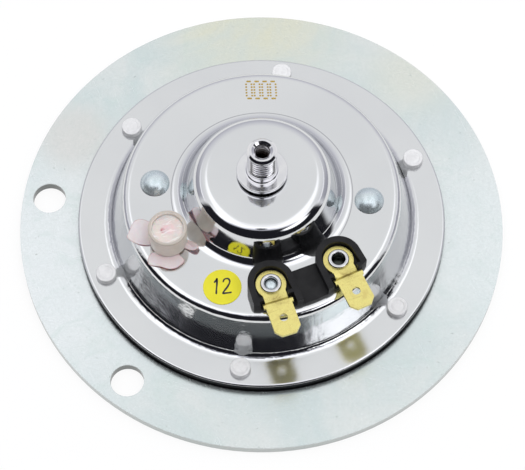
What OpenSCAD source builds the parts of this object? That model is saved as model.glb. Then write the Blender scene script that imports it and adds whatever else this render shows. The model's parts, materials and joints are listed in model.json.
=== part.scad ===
// Disc horn for a car or scooter, lying face down as it is fitted from the front.
// Z runs from the front face of the mounting plate up to the tip of the rear stud.
// The two fixing holes of the plate lie towards -X and the terminals towards -Y.

/* [Mounting plate] */
// Width of the plate ring that shows outside the body flange
plate_border = 14.3; // [12:0.1:20]
// Thickness of the mounting plate
plate_t = 2.5; // [2.2:0.1:3.5]
// Diameter of the two fixing holes
fixing_hole_d = 8; // [5:0.5:9]
// Distance from the edge of the plate to the centre of a fixing hole
fixing_hole_inset = 6.4; // [5.5:0.1:7]
// Angle between -X and each fixing hole
fixing_hole_angle = 30; // [15:1:45]

/* [Body] */
// Diameter of the body at the foot of its wall
body_foot_d = 73.4; // [72:0.2:80]
// Width of the flat flange round the body
flange_w = 8; // [7.6:0.1:10]
// Height from the flange to the shelf
body_h = 13.1; // [12.5:0.1:17]
// Lean of the body wall from upright
body_lean = 15.8; // [12:0.2:18]
// Width of the flat shelf between the body and the raised cap
shelf_w = 9.7; // [9.4:0.1:10]
// Height from the shelf to the top of the cap
cap_h = 9.4; // [9:0.1:12]
// Lean of the cap wall from upright
cap_lean = 22; // [20:0.5:24]
// Thickness of the pressed sheet
sheet_t = 1; // [0.8:0.1:1.2]
// Outer radius of the bend at the foot of the body wall
foot_bend_r = 2; // [1.4:0.1:2.4]
// Outer radius of the bend at the shoulder of the body
shoulder_bend_r = 2.2; // [1.6:0.1:2.6]
// Outer radius of the bend at the foot of the cap
cap_foot_bend_r = 3.6; // [3.2:0.1:4]
// Outer radius of the bend at the top of the cap
cap_top_bend_r = 4.4; // [4:0.1:4.6]

/* [Clamped stack] */
// Thickness of each gasket
gasket_t = 0.8; // [0.6:0.05:1]
// Thickness of the spring steel diaphragm
diaphragm_t = 0.3; // [0.25:0.05:0.5]
// Width of the ring on which the diaphragm is clamped
clamp_w = 7; // [6.6:0.1:7.6]
// Height of the corrugation in the diaphragm
corrugation_h = 0.8; // [0.4:0.1:1.2]
// Width of the corrugation in the diaphragm
corrugation_w = 3; // [2:0.1:3.4]
// Number of rivets round the rim
rim_rivet_n = 6; // [6:1:6]
// Shank diameter of a rim rivet
rim_rivet_d = 3.2; // [2.6:0.1:3.6]
// Foot diameter of the closed head of a rim rivet
rim_rivet_head_d = 4.8; // [4.4:0.1:5.2]
// Height of the closed head of a rim rivet
rim_rivet_head_h = 1.5; // [1:0.1:1.8]
// Diameter of the countersunk front head of a rim rivet
rim_rivet_front_d = 5.8; // [5:0.1:6]

/* [Stud] */
// Diameter of the thread of the rear stud
stud_d = 7; // [6:0.1:7.2]
// Length of the stud above its flange
stud_l = 9.4; // [8:0.1:14]
// Diameter of the plain collar under the thread
stud_collar_d = 7.4; // [7.3:0.1:8]
// Height of the plain collar under the thread
stud_collar_h = 2; // [1:0.1:3]
// Diameter of the stud flange
stud_flange_d = 12; // [11:0.2:14]
// Thickness of the stud flange
stud_flange_t = 1; // [0.8:0.1:1.4]
// Gap between the stud flange and the cap
stud_neck_h = 0.9; // [0.6:0.1:1.4]
// Diameter of the tapped bore in the stud
stud_bore_d = 4; // [3:0.1:4.2]
// Depth of the tapped bore in the stud
stud_bore_l = 11; // [6:0.5:12]
// Diameter of the shank that holds the stud in the pole core
stud_shank_d = 6; // [5:0.1:6.2]

/* [Rear shelf] */
// Distance from the foot of the cap to the circle of the parts on the shelf
shelf_circle_gap = 4; // [3.9:0.1:4.6]
// Angle of the line through the two yoke rivets
yoke_rivet_angle = 152; // [146:1:156]
// Head diameter of a yoke rivet
yoke_rivet_head_d = 7.1; // [6:0.1:7.2]
// Head height of a yoke rivet
yoke_rivet_head_h = 2.3; // [1.8:0.1:3]
// Shank diameter of a yoke rivet
yoke_rivet_d = 4.2; // [3.5:0.1:4.6]
// Angle of the adjuster
adjuster_angle = 188; // [185:0.1:191]
// Angle of the paper spot
spot_angle = 226.9; // [222:0.1:230]
// Diameter of the paper spot
spot_d = 9; // [6:0.2:9]
// Thickness of the paper spot
spot_t = 0.15; // [0.1:0.05:0.3]

/* [Terminals] */
// Angle of the terminal block round the horn
terminal_angle = 271.5; // [269:0.5:274]
// Small turn of the terminal block about its own middle
terminal_turn = -2.5; // [-3:0.5:3]
// Distance between the two terminals
terminal_pitch = 17; // [16:0.1:18]
// Turn of each blade outward from the middle of the block
blade_splay = 3.6; // [0:0.2:5]
// Width of a blade
blade_w = 6.3; // [4.8:0.1:6.5]
// Length of a blade beyond its shoulder
blade_l = 8; // [6:0.1:9]
// Thickness of the blade metal
blade_t = 0.8; // [0.6:0.1:1]
// Height of the step between the ring and the blade
blade_step = 1; // [0.6:0.1:1.4]
// Distance from the tip of a blade to its hole
blade_hole_inset = 4.4; // [3.6:0.1:5]
// Diameter of the hole in a blade
blade_hole_d = 1.9; // [1.4:0.1:2.2]
// Outside diameter of the ring at the root of a blade
ring_d = 7.2; // [6.6:0.1:7.4]
// Outside diameter of the tube of an eyelet
eyelet_d = 3.8; // [3.2:0.1:4]
// Wall of the tube of an eyelet
eyelet_wall = 0.4; // [0.3:0.05:0.5]
// Diameter of the rolled rim of an eyelet
eyelet_rim_d = 5; // [4.6:0.1:5.4]
// Height of the rolled rim of an eyelet
eyelet_rim_h = 0.8; // [0.6:0.1:1]
// Thickness of the floor of the terminal block
block_floor_t = 1.2; // [1:0.1:1.6]
// Height of the collars of the terminal block
block_h = 3.6; // [3:0.1:4.5]
// Wall of the collars of the terminal block
block_wall = 1.5; // [1.2:0.1:1.7]

/* [Adjuster] */
// Outside diameter of the plastic cap
seal_cap_d = 9.2; // [8.6:0.1:9.6]
// Wall of the plastic cap
seal_cap_wall = 0.9; // [0.7:0.1:1]
// Height of the plastic cap above its skirt
seal_cap_h = 6.6; // [5.2:0.1:7.4]
// Thickness of the split skirt under the cap
skirt_t = 0.6; // [0.4:0.1:0.8]
// Size of the lobes of the skirt against their drawn size
skirt_scale = 1; // [0.8:0.05:1]
// Diameter of the adjusting screw
screw_d = 4; // [3:0.1:4]
// Diameter of the head of the adjusting screw
screw_head_d = 5.6; // [5:0.1:6]

/* [Magnet] */
// Diameter of the pole core
core_d = 12; // [10:0.1:12.4]
// Length of the pole core
core_l = 14.6; // [12:0.1:15]
// Distance from the rim of the cap's top to the edge of the coil bobbin
bobbin_inset = 3.8; // [3.7:0.1:4.4]
// Height of the coil bobbin
bobbin_h = 11.8; // [9:0.1:12]
// Thickness of the flanges and tube of the bobbin
bobbin_wall = 0.9; // [0.7:0.1:1.2]
// Width of the steel yoke strip
yoke_w = 12; // [10:0.5:12.5]
// Thickness of the steel yoke strip
yoke_t = 1.5; // [1.2:0.1:1.6]
// Air gap between the armature and the pole core at rest
air_gap = 0.7; // [0.6:0.05:1]
// Thickness of the armature plate
armature_t = 3; // [2.5:0.1:3.5]
// Diameter of the armature hub on the diaphragm
hub_d = 12; // [10:0.1:14]
// Diameter of the armature stem through the diaphragm
stem_d = 5; // [4:0.1:6]

/* [Tone disc] */
// Diameter of the tone disc
tone_disc_d = 66; // [60:0.5:68]
// Thickness of the tone disc
tone_disc_t = 0.9; // [0.8:0.1:1]
// Thickness of the spacer between the diaphragm and the tone disc
spacer_t = 0.9; // [0.8:0.1:1]
// Height of the closed head of the stem in front of the tone disc
stem_head_h = 0.7; // [0.4:0.1:0.7]

/* [Contact breaker] */
// Thickness of the moving contact leaf
leaf_t = 0.4; // [0.3:0.05:0.5]
// Free play of the leaf in its riveted stack
leaf_play = 0.2; // [0.18:0.01:0.25]
// Width of the contact leaves
leaf_w = 6.4; // [6:0.1:7]
// Thickness of the fibre insulators
fibre_t = 1; // [0.8:0.1:1.2]
// Height of the fibre spacer between the two leaves
leaf_gap = 1.5; // [1.3:0.1:1.8]
// Thickness of the fixed contact carrier
carrier_t = 0.8; // [0.6:0.1:1]
// Diameter of the contact points
contact_d = 3; // [2.4:0.1:3.4]
// Height of the moving contact point
contact_h = 0.7; // [0.5:0.1:0.9]
// Distance from the left terminal to the contact points
contact_reach = 17.6; // [17:0.1:19]
// Gap between the push pin and the armature at rest
pin_gap = 0.15; // [0.1:0.01:0.2]
// Diameter of the push pin
pin_d = 2.2; // [1.8:0.1:2.2]
// Gap between the push pin and the flange of the bobbin
pin_clearance = 0.9; // [0.7:0.1:1.2]
// Distance from the edge of the armature to the middle of the push pin
pin_inset = 1.4; // [1.3:0.1:1.5]
// Width of the ring of a lead tag
tag_ring_w = 1; // [0.9:0.1:1.2]
// Width of the arm of a lead tag
tag_arm_w = 2; // [1.5:0.1:2.4]
// Length of the arm of a lead tag beyond its eyelet
tag_arm_l = 3; // [2.4:0.1:3.2]
// Diameter of the coil leads
lead_d = 0.8; // [0.6:0.1:1]

/* [Hidden] */
$fn = 96;

// Small allowances that keep neighbouring pieces from cutting into each other
fit = 0.1;
eps = 0.01;

// Radii from the axis
body_foot_r = body_foot_d / 2;
rim_r = body_foot_r + flange_w;
plate_r = rim_r + plate_border;
clamp_r = rim_r - clamp_w;
gasket_r = rim_r - 0.3;
rim_rivet_r = (rim_r + body_foot_r) / 2 - 0.2;
countersink_h = 0.6 * plate_t;
fixing_hole_r = plate_r - fixing_hole_inset;
shoulder_r = body_foot_r - body_h * tan(body_lean);
shelf_edge_r = shoulder_r - shoulder_bend_r * tan((90 - body_lean) / 2);
shelf_inner_r = shelf_edge_r - shelf_w;
cap_bend_share = tan((90 - cap_lean) / 2);
cap_foot_r = shelf_inner_r - cap_foot_bend_r * cap_bend_share;
cap_top_r = cap_foot_r - cap_h * tan(cap_lean);
cap_flat_r = cap_top_r - cap_top_bend_r * cap_bend_share;
shelf_circle_r = shelf_inner_r + shelf_circle_gap;
spot_r = shelf_circle_r + 1.05;

// Heights from the front face of the plate
diaphragm_z = plate_t + gasket_t;
rear_gasket_z = diaphragm_z + diaphragm_t;
flange_z = rear_gasket_z + gasket_t;
flange_top_z = flange_z + sheet_t;
shelf_z = flange_top_z + body_h;
shelf_under_z = shelf_z - sheet_t;
cap_z = shelf_z + cap_h;
cap_under_z = cap_z - sheet_t;
stud_flange_z = cap_z + stud_neck_h;
stud_seat_z = stud_flange_z + stud_flange_t;
stud_tip_z = stud_seat_z + stud_l;

// Magnet
yoke_under_z = cap_under_z - yoke_t;
stem_foot_z = diaphragm_z - spacer_t - tone_disc_t - stem_head_h;
leaf_z = shelf_under_z - fibre_t - leaf_play - leaf_t;
tag_t = leaf_t;
tag_z = leaf_z - leaf_play - tag_t;
carrier_z = tag_z - leaf_gap - carrier_t;
core_z = yoke_under_z - core_l;
armature_top_z = core_z - air_gap;
bobbin_z = core_z + 0.6;
bobbin_r = cap_top_r - bobbin_inset;
winding_r = bobbin_r - 0.5;
shank_l = 8;

// Bends of the yoke strip: its edges, which lie farther from the axis than its middle, follow the cap inside
yoke_lean = cap_lean + 3;
yoke_bend_r = cap_top_bend_r - sheet_t;
yoke_foot_bend_r = 1;
yoke_bend_run = sqrt(pow(cap_flat_r, 2) - pow(yoke_w / 2, 2)) - fit;
yoke_top_run = yoke_bend_run + yoke_bend_r * tan((90 - yoke_lean) / 2);
yoke_foot_run = yoke_top_run + cap_h * tan(yoke_lean);
yoke_end_l = 3.6;
yoke_end_run = shelf_circle_r + yoke_end_l;

// Chamfers of the stud tip and of its bore
stud_chamfer = 0.7;
bore_chamfer = 0.4;

// Bush and head of the adjusting screw
bush_d = screw_d + 2.2;
bush_flange_t = 1.2;
bush_top_z = shelf_z + 1.6;
screw_head_gap = 0.2;
screw_head_h = 1.8;
screw_slot_w = 0.9;
screw_slot_d = 0.8;
skirt_overhang = 2.2;
skirt_cap_gap = 0.6;

// Lobes of the skirt: direction, distance of the middle, half length and half width
skirt_lobes = [[143, 5, 4, 3.2], [250, 4.1, 3.5, 4.5], [331, 5, 2.7, 2.6], [60, 4, 3.5, 3.5]];

// Middle of the terminal block, and the block's own axes
block_r = sqrt(pow(shelf_circle_r, 2) - pow(terminal_pitch / 2, 2));
block_turn = terminal_angle - 270 + terminal_turn;
block_mid = block_r * [cos(terminal_angle), sin(terminal_angle)];
block_floor_z = shelf_z + block_floor_t;
ring_top_z = block_floor_z + blade_t;
collar_in_r = ring_d / 2 + 0.35;
collar_out_r = collar_in_r + block_wall;
blade_root = ring_d / 2 + 2.1;
block_flare = 0.5;
foot_flange_t = 0.5;
foot_flange_w = 0.9;
rim_bend_r = 0.5;
block_leg = 12;
spigot_r = eyelet_d / 2 + 1;
cap_clearance = 0.55;
block_bridge = 1.6;
lug_size = [1.6, 0.9];
insulator_end = 3.6;
insulator_w = 7.4;
insulator_front = 4.6;
insulator_edge_gap = 1.4;
insulator_cap_gap = 0.2;
notch_x = ring_d / 2 - 0.8;
notch_y = ring_d / 2 + 0.1;
neck_w = ring_d;
neck_l = 1.5;
tip_clip = 1.4;
tip_clip_l = 1.5;

// Line from the left terminal to the adjuster, along which the contact breaker lies
left_eyelet = block_mid + terminal_pitch / 2 * [-cos(block_turn), -sin(block_turn)];
right_eyelet = block_mid + terminal_pitch / 2 * [cos(block_turn), sin(block_turn)];
adjuster = shelf_circle_r * [cos(adjuster_angle), sin(adjuster_angle)];
breaker_line = adjuster - left_eyelet;
breaker_l = norm(breaker_line);
breaker_angle = atan2(breaker_line[1], breaker_line[0]);
axis_along = -(left_eyelet * breaker_line) / breaker_l;
axis_aside = sqrt(left_eyelet * left_eyelet - axis_along * axis_along);
pin_r = bobbin_r + pin_clearance + pin_d / 2;
armature_r = pin_r + pin_inset;

// Turn, in degrees, between two directions
function bend(a, b) = let (c = a[0] * b[1] - a[1] * b[0]) atan2(c, a * b);
function unit(v) = v / norm(v);

// Corner i of an open line of points, rounded to radius r by an arc of short steps
function rounded(p, r, i, steps = 6) =
    let (a = unit(p[i] - p[i - 1]), b = unit(p[i + 1] - p[i]), turn = bend(a, b))
    let (run = r * tan(abs(turn) / 2), side = sign(turn))
    let (start = p[i] - a * run, centre = start + side * r * [-a[1], a[0]])
    [for (k = [0:steps])
        let (t = turn * k / steps, d = start - centre)
        centre + [d[0] * cos(t) - d[1] * sin(t), d[0] * sin(t) + d[1] * cos(t)]];

// Open line with every inner corner rounded to its own radius
function rounded_line(p, r) = [
    p[0],
    for (i = [1:len(p) - 2]) each rounded(p, r[i], i),
    p[len(p) - 1]
];

// Corner i of an open line moved sideways by t, keeping the sheet thickness on both its sides
function shifted(p, t, i) =
    let (last = len(p) - 1)
    let (a = unit(p[max(i, 1)] - p[max(i, 1) - 1]), b = unit(p[min(i, last - 1) + 1] - p[min(i, last - 1)]))
    let (na = [-a[1], a[0]], nb = [-b[1], b[0]])
    p[i] + t * (na + nb) / (1 + na * nb);

// Outer face of the pressed body as radius and height, from the axis to the rim
body_line = [
    [0, cap_z],
    [cap_top_r, cap_z],
    [cap_foot_r, shelf_z],
    [shoulder_r, shelf_z],
    [body_foot_r, flange_top_z],
    [rim_r, flange_top_z]
];
body_outer_r = [0, cap_top_bend_r, cap_foot_bend_r, shoulder_bend_r, foot_bend_r, 0];
body_inner_r = [0, cap_top_bend_r - sheet_t, cap_foot_bend_r + sheet_t, shoulder_bend_r - sheet_t,
    foot_bend_r + sheet_t, 0];
body_outer = rounded_line(body_line, body_outer_r);
body_under_line = [for (i = [0:len(body_line) - 1]) shifted(body_line, -sheet_t, i)];
body_inner = rounded_line(body_under_line, body_inner_r);

// The order of the points of a line turned round
function backwards(p) = [for (i = [len(p) - 1:-1:0]) p[i]];

// Lower face of the diaphragm as radius and height, with one smooth corrugation near its clamped edge
corrugation_mid = clamp_r - corrugation_w / 2 - 0.6;
diaphragm_line = [
    [stem_d / 2 + fit, diaphragm_z],
    for (k = [0:12])
        let (x = corrugation_mid + corrugation_w * (k / 12 - 0.5))
        [x, diaphragm_z + corrugation_h * (1 - cos(360 * k / 12)) / 2],
    [gasket_r, diaphragm_z]
];

// Upper and lower face of one half of the yoke strip as run and height
yoke_line = [
    [0, cap_under_z],
    [yoke_top_run, cap_under_z],
    [yoke_foot_run, shelf_under_z],
    [yoke_end_run, shelf_under_z]
];
yoke_under_line = [for (i = [0:len(yoke_line) - 1]) shifted(yoke_line, -yoke_t, i)];
yoke_outer = rounded_line(yoke_line, [0, yoke_bend_r, yoke_foot_bend_r, 0]);
yoke_inner = rounded_line(yoke_under_line, [0, yoke_bend_r - yoke_t, yoke_foot_bend_r + yoke_t, 0]);

// Lower face of the tone disc, flat with one shallow pressed ring bead
tone_disc_z = diaphragm_z - spacer_t - tone_disc_t;
bead_r = 0.31 * tone_disc_d;
bead_w = 3.2;
bead_h = 0.35;
tone_disc_line = [
    [stem_d / 2 + fit, tone_disc_z],
    for (k = [0:8]) [bead_r + bead_w * (k / 8 - 0.5), tone_disc_z - bead_h * (1 - cos(360 * k / 8)) / 2],
    [tone_disc_d / 2, tone_disc_z]
];

// Side view of a blade: flat ring, step up and flat tongue
step_foot = 1.1;
step_head = 0.2;
blade_side = [
    [ring_d, block_floor_z],
    [-blade_root + step_foot, block_floor_z],
    [-blade_root + step_head, block_floor_z + blade_step],
    [-blade_root - blade_l - 1, block_floor_z + blade_step]
];
blade_side_top = [for (i = [0:len(blade_side) - 1]) shifted(blade_side, -blade_t, i)];

// Flat ring between two radii
module ring(outer, inner, z, h) {
    translate([0, 0, z]) difference() {
        cylinder(r = outer, h = h);
        translate([0, 0, -eps]) cylinder(r = inner, h = h + 2 * eps);
    }
}

// Places its child at every rim rivet
module at_rim_rivets() {
    for (i = [0:rim_rivet_n - 1]) rotate(360 / rim_rivet_n * i) translate([rim_rivet_r, 0, 0]) children();
}

// Holes for the rim rivets through the clamped stack
module rim_rivet_holes() {
    at_rim_rivets() translate([0, 0, -eps]) cylinder(d = rim_rivet_d + 2 * fit, h = flange_top_z + 1);
}

// Places its child at both yoke rivets
module at_yoke_rivets() {
    for (a = [0, 180]) rotate(yoke_rivet_angle + a) translate([shelf_circle_r, 0, 0]) children();
}

// Places its child in the frame of the terminal block: x along the pitch, y towards the cap
module at_block() {
    translate([block_mid[0], block_mid[1], 0]) rotate(block_turn) children();
}

// Places its child at a terminal of the block, turned as its blade is: side -1 left, 1 right
module at_terminal(side) {
    at_block() translate([side * terminal_pitch / 2, 0, 0]) rotate(side * blade_splay) children();
}

// Places its child at the adjuster
module at_adjuster() {
    translate([adjuster[0], adjuster[1], 0]) children();
}

// Places its child in the frame of the contact breaker: x from the left terminal to the adjuster
module at_breaker() {
    translate([left_eyelet[0], left_eyelet[1], 0]) rotate(breaker_angle) children();
}

module mounting_plate() {
    color("#c9d3d3") difference() {
        ring(plate_r, clamp_r, 0, plate_t);
        for (s = [-1, 1]) rotate(180 + s * fixing_hole_angle) translate([fixing_hole_r, 0, -eps])
            cylinder(d = fixing_hole_d, h = plate_t + 2 * eps);
        rim_rivet_holes();
        at_rim_rivets() translate([0, 0, -eps])
            cylinder(d1 = rim_rivet_front_d + 2 * fit, d2 = rim_rivet_d + 2 * fit, h = countersink_h + fit);
    }
}

module gasket(z) {
    difference() {
        ring(gasket_r, clamp_r, z, gasket_t);
        rim_rivet_holes();
    }
}

module front_gasket() {
    color("#202020") gasket(plate_t);
}

module rear_gasket() {
    color("#202020") gasket(rear_gasket_z);
}

module diaphragm() {
    color("#8d9192") difference() {
        rotate_extrude() polygon(concat(
            diaphragm_line,
            backwards([for (p = diaphragm_line) p + [0, diaphragm_t]])
        ));
        rim_rivet_holes();
    }
}

module housing() {
    color("#dcdde2") difference() {
        rotate_extrude() polygon(concat(body_outer, backwards(body_inner)));
        rim_rivet_holes();
        at_yoke_rivets() translate([0, 0, shelf_under_z - 1])
            cylinder(d = yoke_rivet_d + 2 * fit, h = sheet_t + 2);
        for (side = [-1, 1]) at_terminal(side) translate([0, 0, shelf_under_z - 1])
            cylinder(r = spigot_r + 2 * fit, h = sheet_t + 2);
        at_adjuster() translate([0, 0, shelf_under_z - 1]) cylinder(d = bush_d + 2 * fit, h = sheet_t + 2);
        translate([0, 0, cap_under_z - 1]) cylinder(d = stud_shank_d + 2 * fit, h = sheet_t + 2);
    }
}

// Rivet with a countersunk front head and a closed head that tapers a little
module rim_rivets() {
    color("#e6e6e6") at_rim_rivets() {
        cylinder(d1 = rim_rivet_front_d, d2 = rim_rivet_d, h = countersink_h);
        cylinder(d = rim_rivet_d, h = flange_top_z + eps);
        translate([0, 0, flange_top_z])
            cylinder(d1 = rim_rivet_head_d, d2 = rim_rivet_head_d - 0.4, h = rim_rivet_head_h);
    }
}

// Turned stud: shank in the pole core, neck, flange, plain collar, thread and tapped bore
module mounting_stud() {
    color("#d4d5da") difference() {
        union() {
            translate([0, 0, yoke_under_z - shank_l])
                cylinder(d = stud_shank_d, h = cap_z - yoke_under_z + shank_l);
            translate([0, 0, cap_z]) cylinder(d = stud_collar_d, h = stud_neck_h);
            translate([0, 0, stud_flange_z]) cylinder(d = stud_flange_d, h = stud_flange_t);
            translate([0, 0, stud_seat_z]) cylinder(d = stud_collar_d, h = stud_collar_h);
            translate([0, 0, stud_seat_z]) cylinder(d = stud_d, h = stud_l - stud_chamfer);
            translate([0, 0, stud_tip_z - stud_chamfer])
                cylinder(d1 = stud_d, d2 = stud_d - 2 * stud_chamfer, h = stud_chamfer);
        }
        translate([0, 0, stud_tip_z - stud_bore_l]) cylinder(d = stud_bore_d, h = stud_bore_l + eps);
        translate([0, 0, stud_tip_z - bore_chamfer])
            cylinder(d1 = stud_bore_d, d2 = stud_bore_d + 2 * bore_chamfer + 2 * eps, h = bore_chamfer + eps);
    }
}

// Half of the hat-shaped steel strip that closes the magnet and ties the pole core to the shelf
module yoke_half() {
    rotate([90, 0, 0]) translate([0, 0, -yoke_w / 2]) linear_extrude(yoke_w)
        polygon(concat(yoke_outer, backwards(yoke_inner)));
}

module yoke() {
    color("#a9adb0") rotate(yoke_rivet_angle) difference() {
        union() {
            yoke_half();
            rotate(180) yoke_half();
        }
        translate([0, 0, yoke_under_z - 1]) cylinder(d = stud_shank_d + 2 * fit, h = yoke_t + 2);
        for (s = [-1, 1]) translate([s * shelf_circle_r, 0, shelf_under_z - yoke_t - 1])
            cylinder(d = yoke_rivet_d + 2 * fit, h = yoke_t + 2);
    }
}

// Domed head as a slice of a sphere that has the head's width and height
module dome(d, h) {
    ball_r = (d * d / 4 + h * h) / (2 * h);
    intersection() {
        translate([0, 0, h - ball_r]) sphere(r = ball_r);
        cylinder(d = d + 1, h = h + 1);
    }
}

module yoke_rivets() {
    color("#b9c6cf") at_yoke_rivets() {
        translate([0, 0, shelf_z]) dome(yoke_rivet_head_d, yoke_rivet_head_h);
        translate([0, 0, shelf_under_z - yoke_t - 1])
            cylinder(d = yoke_rivet_d, h = sheet_t + yoke_t + 1 + eps);
        translate([0, 0, shelf_under_z - yoke_t - 1]) cylinder(d = yoke_rivet_d + 2, h = 1);
    }
}

module pole_core() {
    color("#9a9da0") difference() {
        translate([0, 0, core_z]) cylinder(d = core_d, h = yoke_under_z - core_z);
        translate([0, 0, yoke_under_z - shank_l - fit]) cylinder(d = stud_shank_d + 2 * fit, h = shank_l + 1);
    }
}

module coil_bobbin() {
    tube_r = core_d / 2 + fit;
    color("#ece4d2") difference() {
        union() {
            translate([0, 0, bobbin_z]) cylinder(r = tube_r + bobbin_wall, h = bobbin_h);
            translate([0, 0, bobbin_z]) cylinder(r = bobbin_r, h = bobbin_wall);
            translate([0, 0, bobbin_z + bobbin_h - bobbin_wall]) cylinder(r = bobbin_r, h = bobbin_wall);
        }
        translate([0, 0, bobbin_z - 1]) cylinder(r = tube_r, h = bobbin_h + 2);
    }
}

module coil_winding() {
    tube_r = core_d / 2 + bobbin_wall + 1.5 * fit;
    color("#b4622c") ring(winding_r, tube_r, bobbin_z + bobbin_wall, bobbin_h - 2 * bobbin_wall);
}

// Armature plate, hub and stem turned from one bar, the stem closed over the tone disc
module armature() {
    color("#b0b3b5") {
        translate([0, 0, armature_top_z - armature_t]) cylinder(r = armature_r, h = armature_t);
        translate([0, 0, rear_gasket_z])
            cylinder(d = hub_d, h = armature_top_z - armature_t - rear_gasket_z + eps);
        translate([0, 0, stem_foot_z]) cylinder(d = stem_d, h = rear_gasket_z - stem_foot_z + eps);
        translate([0, 0, stem_foot_z])
            cylinder(d1 = stem_d + 2.4, d2 = stem_d + 3, h = stem_head_h);
    }
}

module disc_spacer() {
    color("#a2a6a8") ring(hub_d / 2 + 2, stem_d / 2 + fit, diaphragm_z - spacer_t, spacer_t);
}

module tone_disc() {
    color("#9aa0a3") rotate_extrude() polygon(concat(
        tone_disc_line,
        backwards([for (p = tone_disc_line) p + [0, tone_disc_t]])
    ));
}

// Plan of one collar of the terminal block, open and slightly flared on the side of the blade
module collar_plan(r) {
    circle(r = r);
    polygon([[-r, 0], [-r - block_flare, -block_leg], [r + block_flare, -block_leg], [r, 0]]);
}

// Plan of the floor of the terminal block, cut off along the edge of the shelf
module block_floor_plan() {
    intersection() {
        union() {
            for (side = [-1, 1]) at_terminal(side) collar_plan(collar_out_r);
            at_block() translate([-terminal_pitch / 2, -block_leg])
                square([terminal_pitch, block_leg + block_bridge]);
        }
        circle(r = shelf_edge_r);
    }
}

// Plan of its collars with the lugs that reach into the notches of the blades
module block_collar_plan() {
    intersection() {
        for (side = [-1, 1]) at_terminal(side) {
            difference() {
                collar_plan(collar_out_r);
                collar_plan(collar_in_r);
            }
            for (s = [-1, 1]) translate([s * (notch_x + 1), -notch_y]) square(lug_size, center = true);
        }
        circle(r = shelf_edge_r);
    }
}

// Space of the cap with a little clearance round its wall, as radius and height
cap_wall = [for (i = [1:14]) body_outer[i] + [cap_clearance, 0]];
cap_space = concat([[0, shelf_z - eps], [0, cap_z]], cap_wall, [[cap_wall[13][0], shelf_z - eps]]);

// Moulded block: floor, collars round the blade rings and spigots through the shelf
module terminal_block() {
    color("#1d1d1f") difference() {
        union() {
            translate([0, 0, shelf_z]) linear_extrude(block_floor_t) block_floor_plan();
            translate([0, 0, block_floor_z - eps]) linear_extrude(block_h - block_floor_t + eps)
                block_collar_plan();
            for (side = [-1, 1]) at_terminal(side) translate([0, 0, shelf_under_z])
                cylinder(r = spigot_r, h = sheet_t + eps);
        }
        rotate_extrude() polygon(cap_space);
        for (side = [-1, 1]) at_terminal(side) translate([0, 0, shelf_under_z - 1])
            cylinder(d = eyelet_d + 2 * fit, h = sheet_t + block_floor_t + 2);
    }
}

module inner_insulator() {
    color("#5a3a22") difference() {
        intersection() {
            at_block()
                translate([-terminal_pitch / 2 - insulator_end, -insulator_front, shelf_under_z - fibre_t])
                    cube([terminal_pitch + 2 * insulator_end, insulator_w, fibre_t]);
            cylinder(r = shelf_edge_r - insulator_edge_gap, h = cap_z);
        }
        cylinder(r = shelf_inner_r - insulator_cap_gap, h = cap_z);
        for (side = [-1, 1]) at_terminal(side) translate([0, 0, shelf_under_z - fibre_t - 1])
            cylinder(d = eyelet_d + 2 * fit, h = fibre_t + 2);
    }
}

// Plan of a blade: ring, notched neck, shoulder and tongue with clipped corners
module blade_plan() {
    tip = blade_root + blade_l;
    difference() {
        union() {
            circle(d = ring_d);
            translate([-notch_x, -blade_root]) square([2 * notch_x, blade_root]);
            translate([-neck_w / 2, -blade_root - 0.2 * neck_l]) square([neck_w, neck_l]);
            polygon([[-blade_w / 2, -blade_root], [-blade_w / 2, tip_clip_l - tip],
                [tip_clip - blade_w / 2, -tip], [blade_w / 2 - tip_clip, -tip],
                [blade_w / 2, tip_clip_l - tip], [blade_w / 2, -blade_root]]);
        }
        circle(d = eyelet_d + 2 * fit);
        translate([0, blade_hole_inset - tip]) circle(d = blade_hole_d);
    }
}

module terminal_blade(side) {
    color("#d8c65a") at_terminal(side) intersection() {
        translate([0, 0, shelf_z]) linear_extrude(2 * block_h) blade_plan();
        rotate([90, 0, 90]) translate([0, 0, -ring_d]) linear_extrude(2 * ring_d)
            polygon(concat(blade_side, backwards(blade_side_top)));
    }
}

module terminal_blade_left() {
    terminal_blade(-1);
}

module terminal_blade_right() {
    terminal_blade(1);
}

// Tube with a rolled rim on the blade ring and a closed flange at its lower end
module eyelet(foot_z) {
    difference() {
        union() {
            translate([0, 0, foot_z]) cylinder(d = eyelet_d, h = ring_top_z - foot_z + eps);
            translate([0, 0, foot_z]) cylinder(d = eyelet_d + 2 * foot_flange_w, h = foot_flange_t);
            translate([0, 0, ring_top_z]) rotate_extrude() polygon([
                [0, 0],
                [eyelet_rim_d / 2, 0],
                for (t = [0:18:90])
                    [eyelet_rim_d / 2 + rim_bend_r * (cos(t) - 1), eyelet_rim_h + rim_bend_r * (sin(t) - 1)],
                [0, eyelet_rim_h]
            ]);
        }
        translate([0, 0, foot_z - 1]) cylinder(d = eyelet_d - 2 * eyelet_wall, h = ring_top_z - foot_z + 3);
    }
}

module terminal_eyelet_left() {
    color("#c4c7cb") at_terminal(-1) eyelet(carrier_z - foot_flange_t);
}

module terminal_eyelet_right() {
    color("#c4c7cb") at_terminal(1) eyelet(shelf_under_z - fibre_t - tag_t - foot_flange_t);
}

// Round-headed pin that fills the left eyelet
module eyelet_pin() {
    plug_d = eyelet_d - 2 * eyelet_wall - fit;
    dome_z = ring_top_z - 0.6;
    color("#a9c0c4") at_terminal(-1) {
        translate([0, 0, carrier_z - foot_flange_t])
            cylinder(d = plug_d, h = dome_z - carrier_z + foot_flange_t);
        translate([0, 0, dome_z - eps]) dome(plug_d, 0.8);
    }
}

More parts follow.
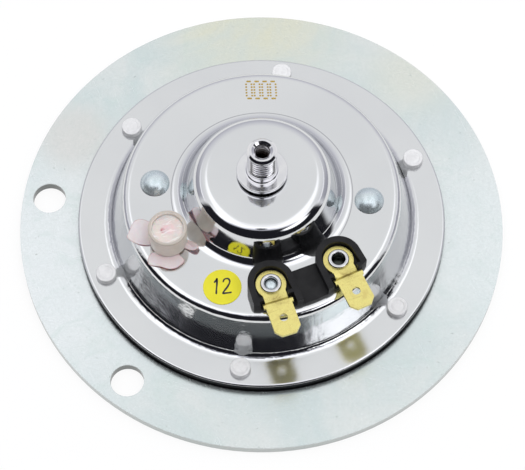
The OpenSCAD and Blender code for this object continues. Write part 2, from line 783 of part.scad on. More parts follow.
// Moving leaf with a side arm to the push pin
module contact_leaf() {
    color("#c8a15a") at_breaker() translate([0, 0, leaf_z]) difference() {
        union() {
            translate([-leaf_w / 2, -leaf_w / 2, 0]) cube([contact_reach + 2 + leaf_w / 2, leaf_w, leaf_t]);
            translate([axis_along - 2, -(axis_aside - pin_r) - pin_d / 2, 0])
                cube([4, axis_aside - pin_r + pin_d / 2, leaf_t]);
        }
        translate([0, 0, -1]) cylinder(d = eyelet_d + 0.6, h = leaf_t + 2);
    }
}

module moving_contact() {
    color("#c9ccd0") at_breaker() translate([contact_reach, 0, leaf_z - contact_h])
        cylinder(d = contact_d, h = contact_h);
}

module push_pin() {
    foot = armature_top_z + pin_gap;
    color("#6b4a2c") at_breaker() translate([axis_along, -(axis_aside - pin_r), foot])
        cylinder(d = pin_d, h = leaf_z - foot);
}

// Brass tags under the leaf and under the right eyelet that take the coil leads
module lead_tag(z) {
    translate([0, 0, z]) difference() {
        union() {
            cylinder(d = eyelet_d + 2 * tag_ring_w, h = tag_t);
            translate([-tag_arm_w / 2, 0, 0]) cube([tag_arm_w, eyelet_d / 2 + tag_arm_l, tag_t]);
        }
        translate([0, 0, -1]) cylinder(d = eyelet_d + 2 * fit, h = tag_t + 2);
    }
}

module lead_tags() {
    color("#cdb454") {
        at_terminal(-1) lead_tag(tag_z);
        at_terminal(1) lead_tag(shelf_under_z - fibre_t - tag_t);
    }
}

module leaf_spacer() {
    color("#5a3a22") at_terminal(-1) ring(leaf_w / 2, eyelet_d / 2 + fit, carrier_z + carrier_t, leaf_gap);
}

// Stiff strip that the adjusting screw presses down at its far end
module contact_carrier() {
    color("#a7abae") at_breaker() translate([0, 0, carrier_z]) difference() {
        translate([-leaf_w / 2, -leaf_w / 2, 0]) cube([breaker_l + leaf_w, leaf_w, carrier_t]);
        translate([0, 0, -1]) cylinder(d = eyelet_d + 2 * fit, h = carrier_t + 2);
    }
}

module fixed_contact() {
    color("#c9ccd0") at_breaker() translate([contact_reach, 0, carrier_z + carrier_t])
        cylinder(d = contact_d, h = leaf_z - contact_h - carrier_z - carrier_t);
}

// Round wire from the side of the winding, at the given angle, to a point under a tag
module coil_lead(angle, tag_end) {
    start_r = winding_r + lead_d / 2 + fit;
    start = [start_r * cos(angle), start_r * sin(angle), bobbin_z + bobbin_h / 6];
    run = tag_end - start;
    translate(start) rotate([0, acos(run[2] / norm(run)), atan2(run[1], run[0])])
        cylinder(d = lead_d, h = norm(run));
}

// Leads from the winding to the two tags
module coil_leads() {
    reach = eyelet_d / 2 + 0.8 * tag_arm_l;
    left_turn = block_turn - blade_splay;
    right_turn = block_turn + blade_splay;
    left_tag = left_eyelet + reach * [-sin(left_turn), cos(left_turn)];
    right_tag = right_eyelet + reach * [-sin(right_turn), cos(right_turn)];
    color("#b4622c") {
        coil_lead(250, [left_tag[0], left_tag[1], tag_z - lead_d / 2 - fit]);
        coil_lead(290, [right_tag[0], right_tag[1], shelf_under_z - fibre_t - tag_t - lead_d / 2 - fit]);
    }
}

// Tapped bush closed into the shelf for the adjusting screw
module screw_bush() {
    foot_z = shelf_under_z - bush_flange_t;
    color("#b5b9bb") at_adjuster() {
        ring(bush_d / 2, screw_d / 2 + fit, foot_z, bush_top_z - foot_z);
        ring(bush_d / 2 + 0.9, bush_d / 2 - eps, foot_z, bush_flange_t);
    }
}

// Slotted screw whose tip rests on the contact carrier
module adjusting_screw() {
    head_z = bush_top_z + screw_head_gap;
    color("#9fb0b5") at_adjuster() difference() {
        union() {
            translate([0, 0, carrier_z + carrier_t])
                cylinder(d = screw_d, h = head_z - carrier_z - carrier_t + eps);
            translate([0, 0, head_z]) cylinder(d = screw_head_d, h = screw_head_h);
        }
        translate([0, 0, head_z + screw_head_h])
            cube([screw_head_d + 1, screw_slot_w, 2 * screw_slot_d], center = true);
    }
}

// Rounded outline of one lobe, drawn along +X from the middle of the cap
module lobe_plan(lobe) {
    polygon([
        for (t = [0:15:345]) skirt_scale * [lobe[1] + lobe[2] * cos(t), lobe[3] * sin(t)]
    ]);
}

// Thin skirt of the plastic cap, split into four lobes that lie on the shelf
module seal_skirt() {
    color("#ead3d6") at_adjuster() translate([0, 0, shelf_z]) difference() {
        intersection() {
            union() {
                cylinder(d = seal_cap_d - 0.2, h = skirt_t);
                for (lobe = skirt_lobes) rotate(lobe[0]) linear_extrude(skirt_t) lobe_plan(lobe);
            }
            translate([-adjuster[0], -adjuster[1], -1]) difference() {
                cylinder(r = shelf_edge_r + skirt_overhang, h = skirt_t + 2);
                translate([0, 0, -1]) cylinder(r = shelf_inner_r + skirt_cap_gap, h = skirt_t + 4);
            }
        }
        translate([0, 0, -1]) cylinder(d = bush_d + 2 * fit, h = skirt_t + 2);
    }
}

// Tube slightly narrower at its foot, open at the top
module seal_cap() {
    foot_z = shelf_z + skirt_t;
    color("#e4dccb") at_adjuster() translate([0, 0, foot_z]) difference() {
        cylinder(d1 = seal_cap_d - 0.5, d2 = seal_cap_d, h = seal_cap_h);
        translate([0, 0, -1]) cylinder(d = seal_cap_d - 2 * seal_cap_wall, h = seal_cap_h + 2);
    }
}

// Poured compound over the screw head
module seal_compound() {
    foot_z = bush_top_z + screw_head_gap + screw_head_h + 0.05;
    color("#f0d8d4") at_adjuster() translate([0, 0, foot_z])
        cylinder(d = seal_cap_d - 2 * seal_cap_wall - fit, h = shelf_z + skirt_t + seal_cap_h - 0.8 - foot_z);
}

module paper_spot() {
    color("#f4e000") rotate(spot_angle) translate([spot_r, 0, shelf_z]) cylinder(d = spot_d, h = spot_t);
}

mounting_plate();
front_gasket();
diaphragm();
rear_gasket();
housing();
rim_rivets();
mounting_stud();
yoke();
yoke_rivets();
pole_core();
coil_bobbin();
coil_winding();
armature();
disc_spacer();
tone_disc();
terminal_block();
inner_insulator();
terminal_blade_left();
terminal_blade_right();
terminal_eyelet_left();
terminal_eyelet_right();
eyelet_pin();
contact_leaf();
moving_contact();
push_pin();
lead_tags();
leaf_spacer();
contact_carrier();
fixed_contact();
coil_leads();
screw_bush();
adjusting_screw();
seal_skirt();
seal_cap();
seal_compound();
paper_spot();
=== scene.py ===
import json
import math

import bmesh
import bpy
import numpy as np
from mathutils import Matrix, Vector


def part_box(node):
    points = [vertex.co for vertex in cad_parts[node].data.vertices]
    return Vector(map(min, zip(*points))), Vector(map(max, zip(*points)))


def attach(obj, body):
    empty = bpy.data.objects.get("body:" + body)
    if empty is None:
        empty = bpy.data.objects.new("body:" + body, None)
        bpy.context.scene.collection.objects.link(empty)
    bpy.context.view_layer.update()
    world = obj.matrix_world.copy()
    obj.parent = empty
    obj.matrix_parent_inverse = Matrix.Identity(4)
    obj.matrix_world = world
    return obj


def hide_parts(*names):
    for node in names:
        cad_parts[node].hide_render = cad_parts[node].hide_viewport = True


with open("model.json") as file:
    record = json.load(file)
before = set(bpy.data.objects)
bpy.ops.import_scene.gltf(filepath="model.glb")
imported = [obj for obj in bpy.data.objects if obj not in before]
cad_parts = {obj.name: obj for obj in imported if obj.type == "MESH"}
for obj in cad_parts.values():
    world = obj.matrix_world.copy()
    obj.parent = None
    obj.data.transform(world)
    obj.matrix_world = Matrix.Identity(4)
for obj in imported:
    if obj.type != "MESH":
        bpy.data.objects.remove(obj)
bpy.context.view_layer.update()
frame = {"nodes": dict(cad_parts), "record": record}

# Every length below is in millimetres, in the frame of the model, unless its comment says otherwise.
MM = 0.001

# Points nearer to each other than this are one point
MERGE = 0.002


def node_box(node):
    """Lowest and highest corner of a CAD node in millimetres."""
    low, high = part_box(node)
    return np.array(low) / MM, np.array(high) / MM


# Driving dimensions, read from the frame
PLATE_HIGH = node_box("mounting_plate")[1]
HOUSING_LOW, HOUSING_HIGH = node_box("housing")
STUD_LOW, STUD_HIGH = node_box("mounting_stud")
TUBE_LOW, TUBE_HIGH = node_box("seal_cap")
SPOT_LOW, SPOT_HIGH = node_box("paper_spot")
PLATE_R = PLATE_HIGH[1]
RIM_R = HOUSING_HIGH[1]
CAP_Z = HOUSING_HIGH[2]
FLANGE_Z = HOUSING_LOW[2]
STUD_TIP_Z = STUD_HIGH[2]
TUBE_MIDDLE = (TUBE_LOW + TUBE_HIGH) / 2
TUBE_R = (TUBE_HIGH[0] - TUBE_LOW[0]) / 2
SPOT_MIDDLE = (SPOT_LOW + SPOT_HIGH) / 2
SPOT_R = (SPOT_HIGH[0] - SPOT_LOW[0]) / 2

# The fixing holes of the plate: the circle of their centres, and the turn of each from -X
HOLE_CIRCLE_R = PLATE_R - 6.4
HOLE_TURN = math.radians(30.0)

# From the middle of an eyelet to the step of its blade
STEP_LENGTH = 4.3


def blade_step(side, drift):
    """Place (x, y) of a blade's step: the step length towards -Y from the eyelet, and drift x that length
    sideways, because the blades aren't quite parallel."""
    low, high = node_box("terminal_eyelet_" + side)
    middle = (low + high) / 2
    return middle[0] + STEP_LENGTH * drift, middle[1] - STEP_LENGTH


BLADE_STEPS = (blade_step("left", -0.08), blade_step("right", 0.045))
EYELET_RIM_Z = node_box("terminal_eyelet_right")[1][2]

# The pressed body: thickness of its sheet, foot, height and lean of the outer wall, width of the shelf,
# height and lean of the cap, and the radius of each bend on its upper face
SHEET = 1.0
BODY_FOOT_R = RIM_R - 8.0
BODY_H = 13.1
BODY_LEAN = math.radians(15.8)
SHELF_W = 9.7
CAP_H = 9.4
CAP_LEAN = math.radians(22.0)
FOOT_BEND, SHOULDER_BEND, CAP_FOOT_BEND, CAP_TOP_BEND = 2.0, 2.2, 3.6, 4.4
FLANGE_TOP_Z = FLANGE_Z + SHEET
SHELF_Z = FLANGE_TOP_Z + BODY_H
SHOULDER_R = BODY_FOOT_R - BODY_H * math.tan(BODY_LEAN)
SHELF_EDGE_R = SHOULDER_R - SHOULDER_BEND * math.tan((math.pi / 2 - BODY_LEAN) / 2)
SHELF_INNER_R = SHELF_EDGE_R - SHELF_W
CAP_FOOT_R = SHELF_INNER_R - CAP_FOOT_BEND * math.tan((math.pi / 2 - CAP_LEAN) / 2)
CAP_TOP_R = CAP_FOOT_R - CAP_H * math.tan(CAP_LEAN)

# The circle on the shelf that the domed rivets stand on
SHELF_CIRCLE_R = SHELF_INNER_R + 4.0

# The bore of the stud, and the wall of the seal's tube
STUD_BORE_R = 1.85
TUBE_WALL = 0.9

# Steps round a turned piece, and along one bend of its profile
ROUND_STEPS = 240
BEND_STEPS = 10

# The camera: lens (mm), distance, aim and angles, solved from the circles of the photographed horn
VIEW_TURN = math.radians(-23.4)
VIEW_HEIGHT = math.radians(63.6)
VIEW_ROLL = math.radians(0.566)
VIEW_DISTANCE = 521.735
VIEW_LENS = 146.52
VIEW_AIM = np.array([-1.16, -3.322, 2.5])

# Level direction from the axis to the side of the horn that is near in the photograph
NEAR_SIDE = np.array([math.sin(VIEW_TURN), -math.cos(VIEW_TURN), 0.0])


def make_camera():
    """Camera on a ball round the aim point: turn, height and roll as solved from the photograph."""
    side = np.array([math.cos(VIEW_TURN), math.sin(VIEW_TURN), 0.0])
    back = math.cos(VIEW_HEIGHT) * NEAR_SIDE + np.array([0.0, 0.0, math.sin(VIEW_HEIGHT)])
    up = np.cross(back, side)
    right = side * math.cos(VIEW_ROLL) + up * math.sin(VIEW_ROLL)
    top = up * math.cos(VIEW_ROLL) - side * math.sin(VIEW_ROLL)
    eye = (VIEW_AIM + back * VIEW_DISTANCE) * MM
    data = bpy.data.cameras.new("camera")
    data.sensor_width = 36.0
    data.lens = VIEW_LENS
    data.clip_start = 0.01
    camera = bpy.data.objects.new("camera", data)
    camera.matrix_world = Matrix([[right[i], top[i], back[i], eye[i]] for i in range(3)] + [[0, 0, 0, 1]])
    bpy.context.scene.collection.objects.link(camera)
    bpy.context.scene.camera = camera


class Finish:
    """A node material. Every call adds a node, and place is the piece's own coordinates in metres."""

    def __init__(self, name):
        self.material = bpy.data.materials.new(name)
        self.material.use_nodes = True
        self.tree = self.material.node_tree
        self.tree.nodes.clear()
        self.output = self.tree.nodes.new("ShaderNodeOutputMaterial")
        self.place = self.put("TexCoord").outputs["Object"]

    def put(self, kind, inputs=None, **settings):
        """Adds a node, sets its settings and fills its inputs with values or links."""
        node = self.tree.nodes.new("ShaderNode" + kind)
        for key, value in settings.items():
            setattr(node, key, value)
        for key, value in (inputs or {}).items():
            if isinstance(value, bpy.types.NodeSocket):
                self.tree.links.new(value, node.inputs[key])
            else:
                node.inputs[key].default_value = value
        return node

    def calc(self, operation, a, b=0.0):
        """A sum on two numbers."""
        return self.put("Math", {0: a, 1: b}, operation=operation).outputs[0]

    def times(self, a, b):
        """a x b."""
        return self.calc("MULTIPLY", a, b)

    def plus(self, a, b):
        """a + b."""
        return self.calc("ADD", a, b)

    def vector(self, operation, a, b=(0, 0, 0)):
        """A sum on two vectors."""
        return self.put("VectorMath", {0: a, 1: b}, operation=operation).outputs[0]

    def distance(self, a, b):
        """Distance between two points."""
        return self.put("VectorMath", {0: a, 1: b}, operation="DISTANCE").outputs["Value"]

    def split(self, vector):
        """The x, y and z of a vector."""
        return self.put("SeparateXYZ", {0: vector}).outputs

    def join(self, x, y, z):
        """A vector from its x, y and z."""
        return self.put("CombineXYZ", {0: x, 1: y, 2: z}).outputs[0]

    def off_axis(self):
        """Distance from the horn's axis, the root of x squared + y squared."""
        x, y = self.split(self.place)[:2]
        return self.calc("SQRT", self.plus(self.times(x, x), self.times(y, y)))

    def near_side(self):
        """Distance from the axis counted towards the near side, below 0 on the far half."""
        x, y = self.split(self.place)[:2]
        return self.plus(self.times(x, NEAR_SIDE[0]), self.times(y, NEAR_SIDE[1]))

    def noise(self, scale, detail=3.0, rough=0.5, place=None, warp=0.0):
        """Noise whose grains are about 1 / scale millimetres wide."""
        settings = {"Vector": place or self.place, "Scale": scale / MM, "Detail": detail,
                    "Roughness": rough, "Distortion": warp}
        return self.put("TexNoise", settings).outputs["Fac"]

    def cloud(self, scale):
        """Soft blotches between 0 and 1, about 1 / scale millimetres wide."""
        return self.spread(self.noise(scale), 0.35, 0.65)

    def spread(self, value, low, high, to_low=0.0, to_high=1.0, smooth=False):
        """Carries the range low to high over to the range to_low to to_high, and stops at its ends."""
        kind = "SMOOTHSTEP" if smooth else "LINEAR"
        sizes = {"Value": value, "From Min": low, "From Max": high, "To Min": to_low, "To Max": to_high}
        return self.put("MapRange", sizes, interpolation_type=kind, clamp=True).outputs[0]

    def spread_mm(self, length, low, high, *to, **how):
        """The same for a length, with low and high in millimetres."""
        return self.spread(length, low * MM, high * MM, *to, **how)

    def ranged(self, noise, low, high):
        """Carries most of the range of a noise over to the range low to high."""
        return self.spread(noise, 0.3, 0.7, low, high)

    def banded(self, value, stops):
        """Colour along a value, between stops of (value, colour)."""
        ramp = self.put("ValToRGB", {0: value})
        bands = ramp.color_ramp.elements
        bands[0].position, bands[0].color = stops[0][0], (*stops[0][1], 1)
        bands[1].position, bands[1].color = stops[-1][0], (*stops[-1][1], 1)
        for position, colour in stops[1:-1]:
            band = bands.new(position)
            band.color = (*colour, 1)
        return ramp.outputs["Color"]

    def mix(self, share, a, b):
        """Colour a where the share is 0, and b where it is 1."""
        node = self.put("Mix", data_type="RGBA", blend_type="MIX")
        for index, value in ((0, share), (6, a), (7, b)):
            if isinstance(value, bpy.types.NodeSocket):
                self.tree.links.new(value, node.inputs[index])
            else:
                node.inputs[index].default_value = value if index == 0 else (*value, 1.0)[:4]
        return node.outputs[2]

    def bump(self, height, depth, under=None):
        """Bump whose full height is depth millimetres, on top of the one under it."""
        sizes = {"Height": height, "Distance": depth * MM, "Strength": 1.0}
        if under is not None:
            sizes["Normal"] = under
        return self.put("Bump", sizes).outputs[0]

    def near(self, middle, radius, soft):
        """1 inside the radius round a point, falling to 0 over the soft width."""
        gap = self.distance(self.place, [m * MM for m in middle])
        return self.spread_mm(gap, radius, radius + soft, 1.0, 0.0, True)

    def shade(self, **sockets):
        """Ends the material with a surface shader, whose sockets are named with _ for each space."""
        values = {key.replace("_", " "): value for key, value in sockets.items()}
        shader = self.put("BsdfPrincipled", values)
        self.tree.links.new(shader.outputs[0], self.output.inputs["Surface"])
        return self.material

    def grained(self, tone, grain, rough, bump, **sockets):
        """Ends the material with its range of roughness and its bump, both from one grain."""
        return self.shade(Base_Color=tone, Roughness=self.ranged(grain, *rough),
                          Normal=self.bump(grain, bump), **sockets)


def worked(name, tones, rough, metal, blotch, grain, bump=0.01, **extra):
    """A plain worked surface: two tones in soft blotches, and roughness and bump from a finer grain."""
    f = Finish(name)
    tone = f.mix(f.cloud(blotch), *tones)
    return f.grained(tone, f.noise(grain, 4.0, 0.6), rough, bump, Metallic=metal, **extra)


def chrome():
    """Chromed sheet: clear on the walls, where turned streaks and slow ripples of the pressing bend the
    reflections, lightly hazed on the flats, and polished in rings on the flange. The lower side of the
    flange's edge is painted black as shade, and a thin dark line of painted shade marks the foot of the
    cap away from the near side."""
    f = Finish("bright_chrome")
    x, y, z = f.split(f.place)[:3]
    radius = f.off_axis()
    on_flange = f.spread_mm(radius, BODY_FOOT_R + 0.6, BODY_FOOT_R + 1.6)
    on_wall = f.spread_mm(radius, SHOULDER_R - 1.5, SHOULDER_R + 0.8)
    wall_only = f.calc("SUBTRACT", on_wall, on_flange)

    # Streaks run round the wall: their place hardly moves along its circle
    way_round = f.vector("NORMALIZE", f.join(x, y, 0.0))
    streak_place = f.vector("ADD", f.vector("MULTIPLY", way_round, (0.012, 0.012, 0.0)), f.join(0.0, 0.0, z))
    streaks = f.noise(1.3, 3.0, 0.55, streak_place)
    ripples = f.noise(0.35, 2.0, 0.5, f.vector("MULTIPLY", f.place, (1.0, 1.0, 0.3)))
    rings = f.noise(9.0, 3.0, 0.6, f.join(radius, f.times(z, 0.3), 0.0))
    grain = f.noise(1.6, 4.0, 0.6)
    normal = f.bump(grain, 0.0016)
    normal = f.bump(f.times(streaks, wall_only), 0.035, normal)
    normal = f.bump(f.times(ripples, wall_only), 0.14, normal)
    normal = f.bump(f.times(rings, on_flange), 0.006, normal)
    rough = f.plus(f.ranged(grain, 0.07, 0.095), f.times(wall_only, 0.02))
    rough = f.plus(rough, f.times(on_flange, 0.07))

    tone = f.mix(f.cloud(0.05), (0.68, 0.69, 0.70), (0.71, 0.72, 0.725))
    # Painted shade: a thin dark line in the crease at the foot of the cap, fading out towards the near side
    gap = f.calc("ABSOLUTE", f.calc("SUBTRACT", radius, SHELF_INNER_R * MM))
    away = f.spread(f.calc("DIVIDE", f.near_side(), radius), 0.45, 0.75, 1.0, 0.0)
    foot_crease_shade = f.times(away, f.spread_mm(gap, 0.03, 0.2, 0.5, 0.0, True))
    tone = f.mix(foot_crease_shade, tone, (0.16, 0.16, 0.19))
    # Painted shade: the lower side of the flange's edge is painted black, as part of the dark band of the
    # gasket stack
    edge_shade = f.times(f.spread_mm(radius, RIM_R - 0.2, RIM_R - 0.08),
                       f.spread_mm(z, FLANGE_TOP_Z - 0.5, FLANGE_TOP_Z - 0.3, 1.0, 0.0))
    tone = f.mix(edge_shade, tone, (0.012, 0.012, 0.016))
    rough = f.plus(rough, f.times(edge_shade, 0.4))
    return f.shade(Base_Color=tone, Metallic=1.0, Roughness=rough, Normal=normal)


def zinc_plate():
    """Zinc-plated plate: pale and semi-gloss, with faint greenish, yellow and lilac clouds, fine
    scratches each way and a few dull specks. Its cut edge is darker, the walls of its fixing holes carry
    painted shade, and a painted black reflection of the gasket lies along the near half of the flange."""
    f = Finish("pale_zinc")
    z = f.split(f.place)[2]

    # Clouds of the plating, and broad paler patches on the left and on the right
    cloud = f.spread(f.noise(0.045, 5.0, 0.6, warp=0.8), 0.38, 0.62)
    tone = f.mix(cloud, (0.66, 0.735, 0.735), (0.75, 0.785, 0.775))
    pale_left = f.near((-56.0, 6.0, 2.5), 10.0, 45.0)
    tone = f.mix(f.times(pale_left, 0.8), tone, (0.83, 0.87, 0.885))
    pale_right = f.near((52.0, -26.0, 2.5), 8.0, 30.0)
    tone = f.mix(f.times(pale_right, 0.7), tone, (0.80, 0.855, 0.86))
    stain = f.spread(f.noise(0.09, 5.0, 0.65, warp=1.5), 0.5, 0.7)
    tone = f.mix(f.times(stain, 0.4), tone, (0.63, 0.74, 0.71))
    yellow_far = f.times(f.near((20.0, 54.0, 2.5), 3.0, 30.0), f.spread(cloud, 0.0, 1.0, 0.45, 1.0))
    tone = f.mix(yellow_far, tone, (0.75, 0.745, 0.58))
    yellow_right = f.near((51.0, 24.0, 2.5), 2.0, 15.0)
    tone = f.mix(f.times(yellow_right, 0.5), tone, (0.77, 0.76, 0.64))
    lilac_far = f.near((-34.0, 40.0, 2.5), 4.0, 9.0)
    tone = f.mix(f.times(lilac_far, 0.6), tone, (0.72, 0.69, 0.66))

    # Specks, scratches in two directions, and grit
    specks = f.spread(f.noise(0.9, 2.0, 0.5), 0.72, 0.78)
    tone = f.mix(f.times(specks, 0.45), tone, (0.38, 0.42, 0.40))
    aslant = f.put("VectorRotate", {"Vector": f.place, "Angle": 0.7}, rotation_type="Z_AXIS").outputs[0]
    scratch_a = f.noise(1.2, 2.0, 0.5, f.vector("MULTIPLY", aslant, (0.05, 3.0, 1.0)))
    scratch_b = f.noise(1.2, 2.0, 0.5, f.vector("MULTIPLY", f.place, (3.5, 0.06, 1.0)))
    lines = f.plus(f.spread(scratch_a, 0.66, 0.74), f.spread(scratch_b, 0.68, 0.76))
    tone = f.mix(f.times(lines, 0.12), tone, (0.92, 0.93, 0.93))
    grit = f.spread(f.noise(1.8, 5.0, 0.75), 0.35, 0.65, 0.0, 0.22)
    tone = f.mix(grit, tone, (0.52, 0.58, 0.57))
    fine = f.noise(3.0, 5.0, 0.65)
    rough = f.plus(f.ranged(fine, 0.2, 0.28), f.times(lines, 0.05))
    normal = f.bump(fine, 0.005, f.bump(lines, -0.003))

    # Painted reflection and shade of the dark gasket where it meets the plate, on the near half only, with a
    # slightly uneven edge
    radius = f.off_axis()
    ragged = f.plus(radius, f.times(f.noise(1.5, 3.0, 0.7), 0.4 * MM))
    near_half = f.spread(f.calc("DIVIDE", f.near_side(), radius), -0.1, 0.8, smooth=True)
    gasket_reflection = f.times(near_half, f.spread_mm(ragged, RIM_R + 0.1, RIM_R + 0.5, 1.0, 0.0, True))
    tone = f.mix(gasket_reflection, tone, (0.015, 0.015, 0.018))

    # Cut edge darker, and painted shade on the walls of the fixing holes: a ball round a point low in each
    # hole takes them in
    edge = f.spread_mm(z, PLATE_HIGH[2] - 0.35, PLATE_HIGH[2] - 0.1, 1.0, 0.0)
    tone = f.mix(f.times(edge, 0.75), tone, (0.36, 0.38, 0.37))
    hole_x, hole_y = math.cos(HOLE_TURN) * HOLE_CIRCLE_R, math.sin(HOLE_TURN) * HOLE_CIRCLE_R
    for side in (-1, 1):
        hole_shade = f.near((-hole_x, side * hole_y, 1.0), 4.16, 0.08)
        tone = f.mix(f.times(hole_shade, 0.8), tone, (0.10, 0.105, 0.10))
    return f.shade(Base_Color=tone, Metallic=0.88, Roughness=rough, Normal=normal)


def brass():
    """Rolled brass: fine lines along the strip, scribed marks across it and brownish stains, and painted
    shade at the step of each blade, broken up by the stains."""
    f = Finish("rolled_brass")
    lines = f.noise(4.0, 3.0, 0.6, f.vector("MULTIPLY", f.place, (3.0, 0.15, 1.0)))
    stain = f.spread(f.noise(0.55, 5.0, 0.65, warp=0.6), 0.5, 0.72)
    scribed = f.noise(1.0, 1.0, 0.4, f.vector("MULTIPLY", f.place, (0.25, 5.0, 1.0)))
    marks = f.spread(scribed, 0.68, 0.73)
    tone = f.mix(f.times(stain, 0.5), (0.80, 0.71, 0.25), (0.55, 0.41, 0.14))
    tone = f.mix(f.times(marks, 0.45), tone, (0.35, 0.25, 0.08))
    # Painted shade at the step of each blade, broken up by the stain noise
    for step in BLADE_STEPS:
        step_shade = f.near((*step, SHELF_Z + 2.2), 0.6, 2.4)
        tone = f.mix(f.times(step_shade, f.spread(stain, 0.0, 0.6, 0.35, 0.85)), tone, (0.30, 0.22, 0.07))
    rough = f.ranged(lines, 0.24, 0.36)
    normal = f.bump(lines, 0.008, f.bump(marks, -0.01))
    return f.shade(Base_Color=tone, Metallic=0.9, Roughness=rough, Normal=normal)


def turned_bright():
    """Bright plated turned steel: very fine rings round the axis, and painted brown shade in the bore,
    which gets darker downwards."""
    f = Finish("bright_turned")
    z = f.split(f.place)[2]
    radius = f.off_axis()
    rings = f.noise(7.0, 2.0, 0.5, f.join(radius, z, 0.0))
    tone = f.mix(f.spread(f.noise(0.4), 0.4, 0.6), (0.74, 0.74, 0.75), (0.70, 0.70, 0.72))
    # Painted shade down the bore, brown, darker downwards
    in_bore = f.spread_mm(radius, STUD_BORE_R + 0.03, STUD_BORE_R + 0.15, 1.0, 0.0)
    in_bore = f.times(in_bore, f.spread_mm(z, STUD_TIP_Z - 0.6, STUD_TIP_Z - 0.4, 1.0, 0.0))
    bore_shade = f.times(in_bore, f.spread_mm(z, STUD_TIP_Z - 5.0, STUD_TIP_Z - 1.6, 1.0, 0.25))
    tone = f.mix(bore_shade, tone, (0.07, 0.04, 0.025))
    return f.grained(tone, rings, (0.07, 0.12), 0.003, Metallic=1.0)


def waxy_tube():
    """Translucent grey-cream plastic: light goes in and spreads, the rim carries painted shade that makes
    it darker than the wall, and the bore is paler."""
    f = Finish("waxy_tube")
    z = f.split(f.place)[2]
    tone = f.mix(f.cloud(0.4), (0.78, 0.69, 0.60), (0.86, 0.77, 0.68))
    # Painted shade: the rim darker than the wall
    rim = f.spread_mm(z, TUBE_HIGH[2] - 0.7, TUBE_HIGH[2] - 0.15, smooth=True)
    tone = f.mix(rim, tone, (0.50, 0.455, 0.405))
    flat_place = f.vector("MULTIPLY", f.place, (1.0, 1.0, 0.0))
    from_middle = f.distance(flat_place, (TUBE_MIDDLE[0] * MM, TUBE_MIDDLE[1] * MM, 0.0))
    bore = f.spread_mm(from_middle, TUBE_R - TUBE_WALL, TUBE_R - TUBE_WALL + 0.3, 1.0, 0.0)
    tone = f.mix(bore, tone, (0.80, 0.73, 0.67))
    return f.grained(tone, f.noise(2.5, 4.0, 0.6), (0.3, 0.42), 0.012, Subsurface_Weight=0.35,
                     Subsurface_Scale=1.6 * MM, Subsurface_Radius=(1.0, 0.75, 0.6))


def poured_wax():
    """Glossy poured compound, cream with a rosy middle, painted white glints and one deep pink speck."""
    f = Finish("poured_wax")
    swirl = f.spread(f.noise(0.6, 3.0, 0.5, warp=0.8), 0.4, 0.6, 0.3, 1.0)
    rosy = f.near((TUBE_MIDDLE[0] + 0.3, TUBE_MIDDLE[1] + 0.3, TUBE_HIGH[2] - 0.6), 0.8, 1.6)
    tone = f.mix(f.times(swirl, rosy), (0.69, 0.62, 0.58), (0.74, 0.54, 0.55))
    speck = f.near((TUBE_MIDDLE[0] - 1.1, TUBE_MIDDLE[1] + 0.3, TUBE_HIGH[2] - 1.1), 0.3, 0.5)
    speck = f.times(speck, f.spread(f.noise(1.0, 2.0), 0.4, 0.55, 0.5, 1.0))
    tone = f.mix(speck, tone, (0.50, 0.20, 0.23))
    fine = f.noise(0.7, 3.0, 0.5, warp=0.8)
    # Painted highlights: whitish glint streaks
    glint_streaks = f.noise(0.5, 2.0, 0.5, f.vector("MULTIPLY", f.place, (0.5, 2.2, 1.0)), warp=1.0)
    tone = f.mix(f.spread(glint_streaks, 0.6, 0.66, 0.0, 0.6), tone, (0.86, 0.82, 0.81))
    return f.shade(Base_Color=tone, Roughness=0.14, Normal=f.bump(fine, 0.25), Subsurface_Weight=0.35,
                   Subsurface_Scale=1.2 * MM, Coat_Weight=0.5, Coat_Roughness=0.06)


def skirt_plastic():
    """Pale pink skirt, a little deeper towards the tube, with a dark red rim on its cut edges."""
    f = Finish("pink_skirt")
    edge = f.put("Attribute", attribute_name="edge").outputs["Fac"]
    near_tube = f.near((TUBE_MIDDLE[0], TUBE_MIDDLE[1], SHELF_Z), TUBE_R, 3.0)
    tone = f.mix(f.cloud(0.5), (0.72, 0.67, 0.68), (0.68, 0.61, 0.62))
    tone = f.mix(f.times(near_tube, 0.25), tone, (0.62, 0.42, 0.44))
    tone = f.mix(f.spread(edge, 0.93, 1.0, 0.0, 0.6), tone, (0.38, 0.14, 0.15))
    return f.grained(tone, f.noise(1.5, 3.0, 0.5), (0.28, 0.45), 0.02, Subsurface_Weight=0.3,
                     Subsurface_Scale=0.8 * MM)


def diaphragm_steel():
    """Spring steel of the diaphragm, fine grained; its edge between the gaskets is painted black as shade."""
    f = Finish("spring_steel")
    tone = f.mix(f.cloud(0.1), (0.36, 0.37, 0.39), (0.48, 0.49, 0.5))
    # Painted shade: black at the edge between the gaskets
    edge_shade = f.spread_mm(f.off_axis(), RIM_R - 0.6, RIM_R - 0.4)
    tone = f.mix(edge_shade, tone, (0.01, 0.01, 0.01))
    return f.grained(tone, f.noise(4.0, 4.0, 0.6), (0.22, 0.34), 0.01, Metallic=1.0)


def eyelet_nickel():
    """Nickelled eyelet: bright on the rolled rim, and painted shade makes it nearly black down its bore."""
    f = Finish("bright_nickel")
    z = f.split(f.place)[2]
    tone = f.mix(f.cloud(0.6), (0.62, 0.62, 0.63), (0.72, 0.72, 0.73))
    # Painted shade: the inside of the bore darkened towards black
    deep = f.spread_mm(z, EYELET_RIM_Z - 1.3, EYELET_RIM_Z - 0.3, 1.0, 0.0)
    tone = f.mix(deep, tone, (0.05, 0.055, 0.05))
    return f.grained(tone, f.noise(4.0, 4.0, 0.6), (0.12, 0.22), 0.006, Metallic=1.0)


